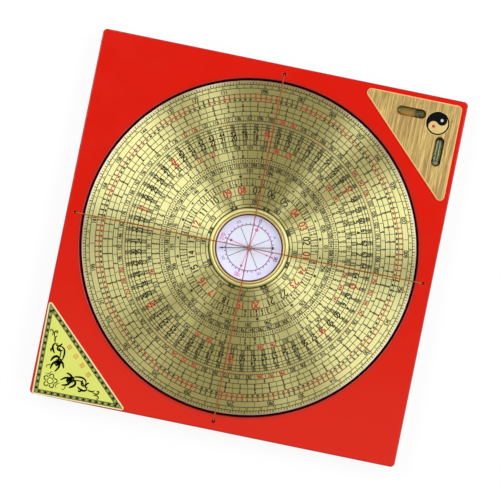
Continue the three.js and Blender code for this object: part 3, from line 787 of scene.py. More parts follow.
# Bands of the dial: inner and outer radius, number of cells, middle of the first cell in
# degrees, kind of mark, its height and its weight
BANDS = (
    (28.4, 30.4, 8, 77.0, "wide lines", 1.35, 0.58),
    (30.4, 34.0, 12, 3.3, "bearing", 2.3, 0.57),
    (34.0, 37.4, 24, 3.3, "three lines", 1.9, 0.52),
    (37.4, 43.4, 24, 3.3, "bold number", 4.3, 0.86),
    (43.4, 48.4, 72, 3.3, "stacked", 1.9, 0.53),
    (48.4, 51.8, 24, 3.3, "star", 2.4, 0.57),
    (51.8, 55.9, 24, 10.8, "bearing", 2.4, 0.57),
    (55.9, 59.2, 60, 2.0, "bearing", 2.1, 0.53),
    (59.2, 62.6, 120, 0.5, "short line", 1.9, 0.69),
    (62.6, 68.2, 60, 3.3, "stacked", 2.1, 0.57),
    (68.2, 71.8, 48, 3.3, "bearing", 2.3, 0.55),
    (71.8, 75.4, 64, 2.5, "six lines", 2.8, 0.41),
    (75.4, 79.2, 64, 2.5, "number", 2.9, 0.78),
    (79.2, 82.8, 64, 2.5, "reverse number", 2.8, 0.78),
    (82.8, 84.8, 64, 2.5, "bearing", 1.4, 0.37),
    (84.8, 86.7, 64, 2.5, "count", 1.35, 0.37),
    (86.7, 88.9, 384, 0.0, "fine bead", 0.9, 0.8),
    (88.9, 92.2, 72, 1.5, "bearing", 2.1, 0.53),
    (92.2, 95.4, 48, 3.3, "slim", 1.25, 0.53),
    (95.4, 98.7, 60, 2.0, "slim", 1.3, 0.53),
    (98.7, 102.5, 60, 2.0, "slim", 1.5, 0.57),
    (102.5, 104.8, 180, 1.0, "block", 1.7, 1.26),
    (104.8, 107.7, 180, 1.0, "small number", 1.2, 0.55),
    (107.7, 111.7, 28, 4.0, "bearing", 2.4, 0.6),
    (111.7, 114.2, 72, 5.8, "peak", 2.2, 0.48),
    (114.2, 116.2, 360, 0.5, "scale", 1.5, 0.44),
)
# Painted shadow: a dark ring printed just outside the bezel, where the bezel's shadow falls on the
# dial
BEZEL_SHADOW_RING, BEZEL_SHADOW_WIDTH = 28.05, 0.45
RED_MAIN = {0, 2, 3, 7, 8, 11, 15, 16, 18, 19, 22, 23}
RED_ARCS = ((35, 50), (78, 90), (122, 132), (200, 212), (245, 260), (282, 300), (340, 358))
RED_COLUMNS = (42, 93, 142, 171, 222, 272, 322, 351)
# Cells of the ring of uneven ones, most cells that have dividers, share of bare stacked cells
MANSIONS, MOST_DIVIDED, BARE_SHARE = 28, 120, 0.22


def in_red_arc(angle):
    return any(low <= angle % 360 <= high for low, high in RED_ARCS)


def near_red_column(angle):
    return any(abs((angle - a + 180) % 360 - 180) < 2.8 for a in RED_COLUMNS)


# A pointed roof, 2.2 high
PEAK = np.array([[(-0.8, -1.1), (0, 1.1), (0.8, -1.1)]])
# Whether a mark is red, and its strokes, by its place k among n cells, its direction a and its
# height h
MARKS = {
    "bold number": lambda k, n, a, h: (k in RED_MAIN, digits(k + 1, h, 2)),
    "number": lambda k, n, a, h: (near_red_column(a), digits(k + 1, h)),
    "reverse number": lambda k, n, a, h: (near_red_column(a), digits(n - k, h)),
    "count": lambda k, n, a, h: (False, digits(k + 1, h, 3)),
    "bearing": lambda k, n, a, h: (n in (48, 72) and in_red_arc(a), digits(round(a) % 360, h, 3)),
    "stacked": lambda k, n, a, h: (False, stacked(k - k // 6 if n == 72 else k + 1, h)),
    "slim": lambda k, n, a, h: (False, stacked(k + 1, h)),
    "small number": lambda k, n, a, h: (k % 15 < 11, stacked(k + 1, h)),
    "three lines": lambda k, n, a, h: (False, bars(broken_lines(k // 3, 3), h)),
    "six lines": lambda k, n, a, h: (False, bars(broken_lines(k, 6), h)),
    "wide lines": lambda k, n, a, h: (False, bars(broken_lines(k, 3), h) * (2.5, 1)),
    "block": lambda k, n, a, h: (k % 9 < 5, np.array([[(-h / 2, 0), (h / 2, 0)]])),
    "star": lambda k, n, a, h: (False, star(h) * (0.6 + 0.4 * (k % 2))),
    "peak": lambda k, n, a, h: (False, PEAK * h / 2.2),
}


def band_marks(marks, band, divider, chance):
    """Adds one band's dividers and the marks in its cells."""
    inner, outer, cells, first, kind, height, weight = band
    middle = (inner + outer) / 2
    angles = first + np.arange(cells) * 360 / cells
    edges = angles - 180 / cells
    if cells == MANSIONS:
        wide = chance.uniform(0.6, 1.7, cells)
        edges = first + np.append(0, np.cumsum(wide)[:-1]) / wide.sum() * 360
        angles = edges + wide / wide.sum() * 180
    if cells <= MOST_DIVIDED:
        marks.spokes("black", edges, inner, outer, divider)
    if kind == "scale":
        long = np.arange(cells) % 5 == 0
        marks.spokes("black", edges[~long], inner, inner + height, weight)
        marks.spokes("black", edges[long], inner, outer, weight * 1.4)
    elif kind == "short line":
        odd, rest = angles[1::2], angles[::2]
        marks.spokes("black", odd, middle - height / 2, middle + height / 2, weight)
        marks.spokes("red", rest[::3], middle - 0.4, middle + 0.4, weight * 1.4)
        rest = np.delete(rest, slice(None, None, 3))
        marks.spokes("black", rest, middle - 0.45, middle + 0.45, weight * 1.4)
    elif kind == "fine bead":
        tall = chance.uniform(0.4, 1.0, cells)
        red = np.array([in_red_arc(a + 15) for a in angles])
        for name, which in (("red", red), ("black", ~red)):
            for level in (-0.45, 0.4):
                low = middle + level - height * 0.2 * tall[which]
                marks.spokes(name, angles[which], low, low + height * 0.45, weight * 0.62)
    else:
        for k, angle in enumerate(angles):
            if kind == "stacked":
                if k % 6 == 0 if cells == 72 else chance.uniform() < BARE_SHARE:
                    continue
            red, lines = MARKS[kind](k, cells, angle, height)
            marks.round_mark("red" if red else "black", lines, weight, angle, middle)


def dial_print(sizes, colours):
    """The dial's print: circles, dividers, scales, numbers and broken lines, and a dark ring
    of painted shadow just outside the bezel.
    """
    level = top("dial_plate")
    low, high = level - SUNK, level + sizes.print_height
    inks = {"black": ink("print black", colours.print_black),
            "red": ink("print red", colours.print_red)}
    circles = [(row[0], sizes.circle_line / 2) for row in BANDS]
    # The bezel's painted shadow, printed with the circles
    circles.append((BEZEL_SHADOW_RING, BEZEL_SHADOW_WIDTH / 2))
    rings = [turned(block(r - wide, r + wide, low, high), FINE) for r, wide in circles]
    piece("print_circles", join(*rings), "dial", inks["black"], flat=True)
    chance = np.random.default_rng(24)
    for part, rows in (("inner", BANDS[:11]), ("middle", BANDS[11:18]), ("outer", BANDS[18:])):
        marks = Print()
        for row in rows:
            band_marks(marks, row, sizes.divider_line, chance)
        for name, material in inks.items():
            shape = marks.shape(name, low, high)
            piece(f"print_{name}_{part}", shape, "dial", material, flat=True)


def dial(sizes, colours):
    """Black turntable and the gold plate on it."""
    dark = finish("turntable black", colours.turntable, 0.7, 0.45, 0.6, 30.0, 1200.0, 0.02,
                  shine=0.05)
    radius, boss_foot, rim_high = drum("turntable")
    boss_r, boss_top, rim_low, seat_r, seat, thick = 7, 3.9, 8.1, 25.4, 9.9, 0.4
    rim, _ = eased([(0, boss_top), (boss_r, boss_top), (boss_r, rim_low), (radius, rim_low),
                    (radius, rim_high), (seat_r, rim_high), (seat_r, seat), (0, seat)],
                   [0, 0.2, 0, thick, thick, 0.1, 0, 0])
    bore = turned(block(0, 1.7, boss_foot - 1, 8.7), SMALL)
    disc = cut(turned(rim, FINE), bore)
    piece("turntable_disc", disc, "dial", dark, ["turntable"])

    radius, low, high = drum("dial_plate")
    profile, _ = eased(block(seat_r, radius, low, high), [0, 0.1, sizes.plate_edge, 0.05])
    gold = dial_gold(colours)
    piece("gold_plate", turned(profile, FINE), "dial", gold, ["dial_plate"])


# ---------------------------------------------------------------- compass

def compass(sizes, colours):
    """Bezel, glass, spacer, card and the card's print."""
    outer, skirt, crown = drum("compass_bezel")
    seat = top("dial_plate") + 0.1
    inner = outer - sizes.bezel_width
    bead_end = inner + sizes.inner_bead
    groove_end = bead_end + sizes.bezel_groove
    foot = seat + 0.6
    profile = np.concatenate([
        [(inner, seat), (24.7, seat), (24.7, skirt), (25.2, skirt), (25.2, seat), (outer, seat)],
        half_ellipse(groove_end, outer, foot, crown, 18),
        half_ellipse(inner, bead_end, foot, foot + 0.5),
    ])
    gold = bezel_gold(colours, bead_end)
    piece("bezel", turned(profile), "dial", gold, ["compass_bezel"])

    radius, low, high = drum("compass_glass")
    clear = glass("compass glass", colours.glass, 1.5, 0.2)
    pane = turned(softened(0, radius, low, high, 0.1, 0.15))
    piece("glass_pane", pane, "dial", clear, ["compass_glass"])

    radius, low, high = drum("glass_spacer")
    bore, lid = 22.8, high - 0.1
    # Painted light: the spacer's own colour is the dark line on top, and its wall is pale only so
    # that it throws light on the card's edge, which the spacer would shade
    pale = finish("spacer wall", colours.spacer_wall, 0.95, 0.5, 0.6, 90.0, 1500.0)
    brown = finish("spacer brown", colours.spacer, 0.75, 0.35, 0.55, 90.0, 1500.0, shine=0.1)
    ring = turned(block(bore, radius, low, lid))
    piece("spacer_ring", ring, "dial", pale, ["glass_spacer"])
    piece("spacer_line", turned(block(bore, radius, lid, high)), "dial", brown)

    def layer(nodes, place, looks):
        mask = nodes.within(nodes.radius(place), CARD_RING, CARD_RING + 0.2)
        return {"Colour": nodes.mix(mask, looks["Colour"], colours.card_tint)}

    radius, low, high = drum("compass_card")
    paper = finish("card paper", colours.card, 0.95, 0.5, 0.65, 45.0, 2600.0, 0.006, layer)
    profile, _ = eased(block(2.2, radius, low, high), 0.05, 3)
    piece("card", turned(profile), "dial", paper, ["compass_card"])
    card_print(sizes, colours, high)


def card_print(sizes, colours, level):
    """The card's print: eight lines, a ring of ticks, small rings and bearing numbers."""
    low, high = level - SUNK, level + sizes.print_height
    marks = Print()
    north = sizes.group.card_north
    corners, between = north + np.arange(4) * 90, north + np.arange(4) * 90 + 45
    ring_out = CARD_RING + 0.65
    marks.spokes("pink", corners, 2.4, CARD_RING, 0.7)
    marks.spokes("grey", between, 2.4, 15.6, 0.55)
    marks.spokes("violet", north + np.arange(36) * 10, 16.5, 17.6, 0.6)
    marks.spokes("violet", corners, 16.5, 18.4, 0.8)
    for k, name in enumerate(("violet", "pink", "pink", "violet")):
        marks.round_mark(name, digits(-90 * k % 360, 2.4), 0.55, corners[k], 20.2)
        marks.round_mark("grey", digits(315 - 90 * k, 1.5), 0.32, between[k], 19.4)
    for name in ("pink", "violet", "grey"):
        shape = marks.shape(name, low, high)
        if name == "violet":
            shape = join(shape, turned(block(CARD_RING, ring_out, low, high)))
        tone = ink(f"card {name}", getattr(colours, f"card_{name}"))
        piece(f"card_{name}", shape, "dial", tone, flat=True)
    dots = []
    for k, (inner, radius) in enumerate(((0.55, 1.15), (0.0, 0.95), (0.3, 0.85), (0.0, 0.6))):
        x, y = spun(np.array([13.6, 0.0]), corners[k])
        disc = turned(block(inner, radius, low, high + 0.02), SMALL)
        dots.append(moved(disc, (x, y, 0)))
    tone = ink("card dot", colours.card_dot)
    piece("card_dots", join(*dots), "dial", tone, flat=True)


def needle(sizes, colours):
    """Blade with a thick head, an eye and a tail disc, under a brass cap."""
    steel = (0.7, 0.3, 0.45, 120.0, 3000.0, 0.002)
    grey = finish("needle grey", colours.needle, *steel, Metallic=0.5)
    dark = finish("needle dark", colours.needle_tip, *steel)
    amber = finish("cap brass", colours.cap, 0.7, 0.22, 0.36, 200.0, 3000.0, 0.003, Metallic=0.9)
    low, high = bottom("needle_blade"), top("needle_blade")
    turn, tail = sizes.group.needle_angle, 16.6

    def flat_bar(corners, radii, proud):
        line, normals = eased(corners, radii, 4)
        rise = softened(-0.1, 0, low - proud, high + proud, 0.06, 0.06, 3)
        return wheeled(lofted(line, normals, rise), turn)

    def flat_disc(place, radius, proud):
        disc = turned(softened(0, radius, low - proud, high + proud, 0.08, 0.08, 3), SMALL)
        x, y = spun(np.array([place, 0.0]), turn)
        return moved(disc, (x, y, 0))

    bar = flat_bar([(-18.3, -0.26), (tail, -0.24), (tail, 0.24), (-18.3, 0.26)], 0, 0)
    blade = join(bar, flat_disc(0, 1.7, 0.01))
    piece("blade", blade, "needle", grey, ["needle_blade"])
    head = [(-20.6, -0.3), (-18.6, -0.6), (-18, -0.3), (-18, 0.3), (-18.6, 0.6), (-20.6, 0.3)]
    tips = join(flat_bar(head, [0.2, 0.3, 0.1, 0.1, 0.3, 0.2], 0.02), flat_disc(tail, 0.9, 0.02))
    piece("needle_tips", tips, "needle", dark)
    low, high = bottom("needle_cap"), top("needle_cap")
    cap = [(0, high - 0.3), (0.8, low), (1.7, low), (1.7, high - 0.35), (0.85, high), (0, high)]
    cap = turned(eased(cap, [0, 0, 0.12, 0.3, 0.3, 0])[0], SMALL)
    piece("cap", cap, "needle", amber, ["needle_cap"])


# ---------------------------------------------------------------- threads

def thread_path(end, middle, over):
    """Half by half: up the hole, round a bend of radius one, and straight to the middle."""
    angle = np.linspace(0, math.pi / 2, 14)
    rise = np.linspace(1.6, top("base_board") - 0.8, 60)
    run = np.linspace(0, 1, 900)[1:]
    half = np.concatenate([
        np.stack([np.full(60, end), rise], -1),
        np.stack([end - 1 + np.cos(angle), middle - 1 + np.sin(angle)], -1),
        np.stack([(end - 1) * (1 - run), middle + (over - middle) * run], -1),
    ])
    line = np.concatenate([half, (half * (-1, 1))[-2::-1]])
    return np.column_stack([line[:, 0], np.zeros(len(line)), line[:, 1]])


def twisted(path, side, radius, pitch, spread, sides=6):
    """Two plies wound round each other: each has its middle at half the radius, turned by
    2 pi s / pitch, where s is the way along the path. They are pressed wider by spread."""
    along = np.append(0, np.cumsum(np.linalg.norm(np.diff(path, axis=0), axis=1)))
    plies = []
    for start in (0, math.pi):
        turn = along / pitch * TURN + start
        middle = np.stack([np.cos(turn), np.sin(turn)], -1)[:, None] * radius * 0.46
        section = (middle + circle(radius * 0.54, sides)) * (spread, 1)
        plies.append(swept(path, section, side))
    return join(*plies)


def knot(radius, half_height):
    """Overhand knot: a trefoil ((2 + cos 3t) cos 2t, (2 + cos 3t) sin 2t, sin 3t), scaled."""
    t, cord = np.arange(160) / 160 * TURN, 0.42
    wide = (2 + np.cos(3 * t))[:, None] / 3
    path = np.column_stack([wide * np.stack([np.cos(2 * t), np.sin(2 * t)], -1) * (radius - cord),
                            np.sin(3 * t) * (half_height - cord)])
    return swept(path, circle(cord, 8), np.array([0.0, 0.0, 1.0]), closed=True)


def threads(sizes, colours):
    """Two taut twisted threads, painted darker and greyer over the card as painted shade, and
    knotted under the board at their four ends."""
    def cotton(name, colour, card_shade):
        def layer(nodes, place, looks):
            fibres = nodes.noise(place, 5200.0, 2.0)
            far = nodes.add("VectorMath", {0: place}, operation="LENGTH").outputs["Value"]
            # Painted shade: the thread's colour goes darker and greyer over the card
            mixed = nodes.mix(nodes.within(far, 22, 26), looks["Colour"], card_shade)
            mask = nodes.between(fibres, 0.4, 0.7, 1.0, 0.0)
            return {"Colour": nodes.mix(mask, mixed, (0.75, 0.75, 0.75), "MULTIPLY")}

        return finish(name, colour, 0.75, 0.5, 0.7, 150.0, 5000.0, 0.03, layer, 0.1, 0.1)

    high = span("thread_east_west")[1]
    end = high[0] - KNOT
    first, second = high[2] - 0.3, top("thread_north_south") - 0.3
    brown = cotton("brown thread", colours.brown_thread, colours.faded_brown)
    red = cotton("red thread", colours.thread, colours.faded_red)
    bead = knot(1.65, 1.1)
    ends = [moved(bead, (end, 0, 1.4)), moved(bead, (-end, 0, 1.4))]
    lays = (("east_west", first, 0, brown), ("north_south", second, 90, red))
    for name, over, turn, cord in lays:
        path = thread_path(end, first, over)
        side = np.array([0.0, 1.0, 0.0])
        line = twisted(path, side, sizes.thread_width / 2, sizes.thread_pitch, 1.5)
        shape = wheeled(join(line, *ends), turn)
        piece(f"cord_{name}", shape, "board", cord, [f"thread_{name}"])


# ---------------------------------------------------------------- level plate

def corner_triangle(corner, leg, inset, radius, steps=8):
    """Outline of a square-cornered triangle on the diagonal, moved inward by inset."""
    return eased(triangle_sides(corner, leg, inset)[:, 0], radius, steps)


def level_plate(sizes, colours):
    """Wooden plate with its slots, and the round sign printed on it."""
    (_, _, low), (corner, _, high) = span("level_plate")
    leg, rim, edge = 72.0, sizes.plate_rim, 0.25
    openings = [lofted(*slot, [(0, low - 2), (0, high + 2)]) for slot in vial_slots()]
    shape = lofted(*corner_triangle(corner, leg, rim, 2.6), [(0, low), (0, high)])
    wood = level_wood(colours)
    piece("wood_plate", cut(shape, *openings), "board", wood, ["level_plate"])
    # Painted highlight: the pale band along the plate's rounded edge
    profile = softened(-rim, 0, low, high, edge, edge, 4)
    shape = lofted(*corner_triangle(corner, leg, 0, 3.2), profile, True)
    pale = finish("plate rim", colours.wood_rim, 0.9, 0.35, 0.5, 60.0)
    piece("wood_rim", shape, "board", pale)
    round_sign(sizes, colours, high)

    # Two tones, the axis across them, where one goes over to the other, where the dark begins
    # The second bed's pale sides are painted highlights: streaks of light along its vial
    tones = {"x": (colours.bed_x, colours.bed_x_far, "Y", -0.1, 0.7, 94.4),
             "y": (colours.bed_y_core, colours.bed_y, "X", 0.35, 0.6, 200.0)}
    profile = [(0, POCKET + 0.02), (0, low + 0.6), (-0.15, low + 0.6), (-0.15, POCKET + 0.28)]
    for (name, tone), slot in zip(tones.items(), vial_slots()):
        middle = np.mean(span(f"vial_tube_{name}"), 0)
        bed_paint = bed_stain(f"vial bed {name}", *tone, middle)
        piece(f"vial_bed_{name}", lofted(*slot, profile), "board", bed_paint)


def bed_stain(name, shade, second, axis, low, high, dark, middle):
    """Colours of a vial's bed: one tone going over to a second one by the distance from the
    middle line, or by the way across it where low is below zero; dark up the walls, as painted
    shade, and dark past the place called dark."""
    def layer(nodes, place, looks):
        parts = nodes.add("SeparateXYZ", {0: place}).outputs
        away = nodes.math("SUBTRACT", parts[axis], middle["XYZ".index(axis)] * MM)
        if low > 0:
            away = nodes.math("ABSOLUTE", away)
        floor = nodes.mix(nodes.beyond(away, low, high), looks["Colour"], second)
        # Painted shade: dark up the pocket's walls
        mask = nodes.math("MAXIMUM", nodes.beyond(parts["Z"], POCKET + 0.3, POCKET + 0.8),
                          nodes.beyond(parts["X"], dark, dark + 1.4))
        return {"Colour": nodes.mix(mask, floor, [c * 0.14 for c in shade])}

    return finish(name, shade, 0.6, 0.45, 0.6, 160.0, 2500.0, 0.002, layer, 0.2)


def round_sign(sizes, colours, level):
    """Old sign of two drops in a circle, each with a dot. The dark drop lies between half the
    circle, R (cos t, sin t), and two half circles of radius h = R / 2, all turned by 45 degrees:
    (h + h cos 2t, -h sin 2t) up to the middle, and (-h - h cos 2t, -h sin 2t) after it."""
    middle, radius, line, margin = np.array([111.45, 111.3, 0.0]), 7.15, 1.0, 0.35
    low, high = level - SUNK, level + sizes.print_height
    t = np.linspace(0, math.pi, 65)
    edge = (radius + 0.05) * np.stack([np.cos(t), np.sin(t)], -1)
    half = radius / 2 + 0.025
    side = np.where(t < math.pi / 2, 1, -1) * half
    inner = np.stack([side + side * np.cos(2 * t), -half * np.sin(2 * t)], -1)
    drop = wheeled(band(edge, inner, low, high, False), 45)
    dark = join(turned(block(radius, radius + line, low, high)), drop)
    ground = turned(block(0, radius + line + margin, low, level + 0.008))
    pale = finish("sign ground", colours.sign, 0.9, 0.35, 0.5, 150.0)
    black = ink("plate black", colours.plate_black, 0.06)
    piece("sign_ground", moved(ground, middle), "board", pale, flat=True)
    piece("sign_dark", moved(dark, middle), "board", black, flat=True)
    for name, way, size, tone in (("light", half, 1.0, ink("sign cream", colours.sign_dot)),
                                  ("red", -half, 1.1, ink("sign red", colours.sign_red))):
        dot = moved(turned(block(0, size, low, high + 0.03), SMALL), (way, 0, 0))
        dot = moved(wheeled(dot, 45), middle)
        piece(f"sign_{name}_dot", dot, "board", tone, flat=True)


def vials(sizes, colours):
    """Two glass vials with their spirit, bubble and dark end. Their profiles run along the
    vial, from its round end at zero."""
    tube_glass = glass("vial glass", colours.vial, 1.45, 0.1, 0.0, 0.22)
    spirit = glass("vial fluid", colours.spirit, 1.4, 0.1, 0.0, 0.22)
    air = glass("bubble air", colours.bubble, 0.74, 0.5, 0.0)
    resin = (0.3, 0.5, 200.0, 2500.0)
    plug = finish("vial plug", colours.plug, 0.7, *resin, shine=0.12)
    caps = [finish("vial cap x", colours.vial_cap, 0.6, *resin, shine=0.2),
            finish("vial cap y", colours.vial_cap_y, 0.6, *resin, shine=0.2)]
    radius, bore, mouth, level = 2.95, 2.35, 17.25, 15.65
    t, u = np.linspace(0, math.pi / 2, 12), np.linspace(0, math.pi, 20)
    dome = np.stack([np.sin(t), 1 - np.cos(t)], -1)
    tube = np.concatenate([dome * radius, [(radius, mouth), (bore, mouth)],
                           (dome * bore + (0, radius - bore))[::-1]])
    wet = bore + 0.01
    fluid = np.concatenate([dome * wet + (0, radius - wet), [(wet, level), (0, level)]])
    stopper = block(0, 2.3, level + 0.05, 17.3)
    end = np.concatenate([[(0, 17.35)], dome[::-1] * (2.9, -2.9) + (0, 20.25)])
    drop = np.stack([1.5 * np.sin(u), 2.4 - 1.2 * np.cos(u)], -1)
    ways = ([[0, 0, -1], [0, 1, 0], [1, 0, 0]], [[0, 0, -1], [1, 0, 0], [0, -1, 0]])
    for axis, (name, cap, rows) in enumerate(zip("xy", caps, ways)):
        box = span(f"vial_tube_{name}")
        start = np.mean(box, 0)
        start[axis] = box[axis][axis]

        def lay(profile, lift=0.0):
            return moved(mapped(turned(profile), rows), start + (0, 0, lift))

        piece(f"tube_{name}", lay(tube), "board", tube_glass, [f"vial_tube_{name}"])
        piece(f"spirit_{name}", lay(fluid), "board", spirit, [f"vial_fluid_{name}"])
        piece(f"stopper_{name}", lay(stopper), "board", plug, [f"vial_plug_{name}"])
        piece(f"cap_{name}", lay(end), "board", cap)
        bubble = lay(drop, 0.65)
        piece(f"air_{name}", bubble, f"level_bubble_{name}", air, [f"bubble_{name}"])


# ---------------------------------------------------------------- plaque

# The plaque was stuck on by hand: turned a little, and moved along both sides
PLAQUE_TURN, PLAQUE_SHIFT = 0.8, (0.95, -0.85)


def plaque(sizes, colours):
    """Thin printed plate: cream edge, green band with a fret, lemon field with brushed curls."""
    (corner, _, low), (_, _, level) = span("corner_plaque")
    leg = 67.0

    def place(name, shape, material, stands_for=(), flat=True):
        shape = wheeled(moved(shape, (-corner, -corner, 0)), PLAQUE_TURN)
        shape = moved(shape, (corner + PLAQUE_SHIFT[0], corner + PLAQUE_SHIFT[1], 0))
        piece(name, shape, "board", material, stands_for, flat)

    rise = softened(-0.5, 0, low, level, 0.1, 0.15, 3)
    shape = lofted(*corner_triangle(corner, leg, 0, 1.5), rise)
    cream = finish("plaque edge", colours.plaque_edge, 0.92, 0.25, 0.4, 60.0, 1500.0, 0.004)
    place("plaque_plate", shape, cream, ["corner_plaque"], False)

    thin = sizes.print_height
    base, face, crown = level - SUNK, level + thin, level + thin * 2
    band_out = sizes.plaque_margin
    band_in = band_out + sizes.fret_band
    outer, _ = corner_triangle(corner, leg, band_out, 0.9)
    inner, normals = corner_triangle(corner, leg, band_in, 0.3)
    green = finish("plaque green", colours.plaque_green, 0.85, 0.3, 0.45, 90.0, 1500.0, 0.004)
    pale = finish("plaque blocks", colours.plaque_block, 0.9, 0.3, 0.45, 90.0, 1500.0, 0.004)
    lemon = finish("plaque lemon", colours.plaque_field, 0.95, 0.3, 0.42, 50.0, 1500.0, 0.004)
    place("plaque_band", band(outer, inner, base, face), green)
    place("plaque_field", lofted(inner, normals, [(0, base), (0, face)]), lemon)

    marks, root = Print(), face - 0.01
    fret(marks, corner, leg, band_out, band_in)
    lozenges(marks, corner, leg, band_in)
    black = join(marks.shape("black", root, crown), brushed_curls(corner, root, crown))
    place("plaque_curls", black, ink("plate black", colours.plate_black, 0.06))
    place("plaque_blocks", marks.shape("pale", root, crown), pale)
    red = ink("plaque red", colours.plaque_red)
    place("plaque_lozenges", marks.shape("red", root, crown), red)


def triangle_sides(corner, leg, inset):
    """Start and end of each side of the plate's triangle, moved inward by inset."""
    way = -math.copysign(1, corner)
    near = corner + way * inset
    far = near + way * (leg - inset * (2 + math.sqrt(2)))
    ends = np.array([(near, near), (far, near), (near, far)])
    return np.stack([ends, np.roll(ends, -1, 0)], 1)


def fret(marks, corner, leg, band_out, band_in):
    """Two lines along each side, and between them squares, blocks and bars in turn."""
    for inset in (band_out + 0.15, band_in - 0.1):
        marks.add("black", triangle_sides(corner, leg, inset), 0.34)
    for a, b in triangle_sides(corner, leg, (band_out + band_in) / 2):
        turn = math.degrees(math.atan2(b[1] - a[1], b[0] - a[0]))
        count = round(np.linalg.norm(b - a) / 4.4)
        centres = (a + (b - a) * ((np.arange(count) + 0.5) / count)[:, None])[:, None]

        def line(tone, start, end, width, last=None):
            marks.add(tone, (spun(np.array([start, end]), turn) + centres)[:last], width)

        line("black", (-0.7, 0.0), (0.7, 0.0), 1.6)
        line("pale", (1.55, 0.0), (2.85, 0.0), 1.25, -1)
        for x in (1.15, 3.25):
            line("black", (x, -0.8), (x, 0.8), 0.24, -1)


def lozenges(marks, corner, leg, inset):
    """Four open orange lozenges, each with a small square, in a row beside the slanted side."""
    _, (a, b), _ = triangle_sides(corner, leg, inset + 3.6)
    middle, along = (a + b) / 2, (b - a) / np.linalg.norm(b - a)
    frame_line = np.array([[(1.7, 0), (0, 1.7), (-1.7, 0), (0, -1.7), (1.7, 0)]])
    square = np.array([[(-0.5, 0), (0.5, 0)]])
    for step in (-1.5, -0.5, 0.5, 1.5):
        place = middle + along * step * 7.7
        marks.add("red", frame_line + place, 0.6)
        marks.add("red", square + place, 1.0)


def curl(place, heading, long, turns, width, count=30):
    """A brushed curl. Its way turns by 2 pi turns s^2.3, slowly and then ever faster, while its
    steps shorten; its width is that of the fullest place times (sin pi s^0.7)^0.6."""
    s = np.linspace(0, 1, count)
    angle = math.radians(heading) + turns * TURN * s**2.3
    step = (1 - 0.45 * s)[:, None] * np.stack([np.cos(angle), np.sin(angle)], -1) * long / count
    line = place + np.cumsum(step, 0) - step[0]
    side = np.stack([-np.sin(angle), np.cos(angle)], -1)
    half = np.maximum(np.sin(math.pi * s**0.7), 0)[:, None] ** 0.6 * width / 2
    return line + side * half, line - side * half


# Brushed curls of one half: place from the plate's square corner, heading in degrees, length,
# turns, width. They make a cloud's head, its long body with cross curls, and its thin ends
CURLS = (
    (17.6, 12.6, 40, 21, -1.35, 1.5), (19, 9.6, 5, 17, 1.2, 1.5), (21, 18.6, -12, 13, -0.8, 1.5),
    (22.4, 13.2, 60, 12, -1, 1.4), (24.5, 8.6, 25, 15, 0.95, 1.7), (26.5, 16.6, 12, 17, -0.42, 1.3),
    (27, 14.4, 8, 14, -0.4, 0.8), (30.2, 10.6, -35, 13, 0.5, 1.4), (33.2, 15.8, -100, 8, 0.5, 1.4),
    (38.2, 14.6, -150, 9, 0.8, 1.3), (34, 9.6, -110, 6, -0.6, 1.2), (22.2, 9.8, -95, 7, -0.5, 0.55),
    (18, 11, -150, 8, 0.45, 0.55), (37.6, 9.6, -18, 8, 0.3, 1), (41.4, 8.6, -25, 12, 1.25, 0.9),
    (42.2, 6.6, 10, 10, -0.9, 0.8),
)
# Open petals round the ring near the square corner
PETALS, PETAL_PLACE = 5, (11.0, 11.0)


def brushed_curls(corner, low, high):
    """The curls and their mirror image across the diagonal, and a ring with five petals."""
    way = -math.copysign(1, corner)
    made = []
    for x, y, heading, long, turns, width in CURLS:
        left, right = curl(np.array([x, y], float) * way + corner, heading, long, turns, width)
        made.append(band(right, left, low, high, False))
        made.append(band(left[:, ::-1], right[:, ::-1], low, high, False))
    centre = np.array(PETAL_PLACE) * way + corner
    made.append(moved(turned(block(1.85, 2.4, low, high), SMALL), (*centre, 0)))
    t = np.linspace(0, 1, 21)
    petal = np.stack([2.6 + 2.3 * np.sin(math.pi * t) ** 0.8, 1.5 * np.cos(math.pi * t)], -1)
    turn = 45 + (np.arange(PETALS)[:, None] + 0.5) * 360 / PETALS
    made.append(strokes(spun(petal, turn) + centre, 0.7, low, high))
    return join(*made)


# ---------------------------------------------------------------- stage

# Lamps: name, direction round the dial and height over it in degrees, distance, width, power
LAMPS = (
    ("lamp left", 157, 48, 1.25, 0.66, 5.5),
    ("lamp low", 335, 48, 1.25, 0.66, 2.9),
    ("lamp right", 24, 48, 1.25, 0.45, 4.2),
    ("strip top", 116, 50, 1.3, 0.1, 1.15),
    ("strip far", 59, 50, 1.3, 0.08, 0.95),
)
LAMP_LENGTH, COOL = 0.5, (0.82, 0.89, 1.0)
CAMERA_PLACE, CAMERA_TURN, CAMERA_LENS = (1.045 * MM, -1.355 * MM, 841.3 * MM), 11.6, 85


def lamp(name, azimuth, elevation, distance, width, power):
    """A soft rectangular lamp that faces the dial from a direction round it."""
    light = bpy.data.lights.new(name, "AREA")
    light.shape, light.size, light.size_y = "RECTANGLE", width, LAMP_LENGTH
    light.energy, light.color = power, COOL
    thing = linked(name, light)
    a, e = math.radians(azimuth), math.radians(elevation)
    place = np.array([math.cos(a) * math.cos(e), math.sin(a) * math.cos(e), math.sin(e)])
    thing.location = place * distance
    thing.rotation_euler = (math.pi / 2 - e, 0, a + math.pi / 2)
    thing.visible_camera = thing.visible_transmission = False


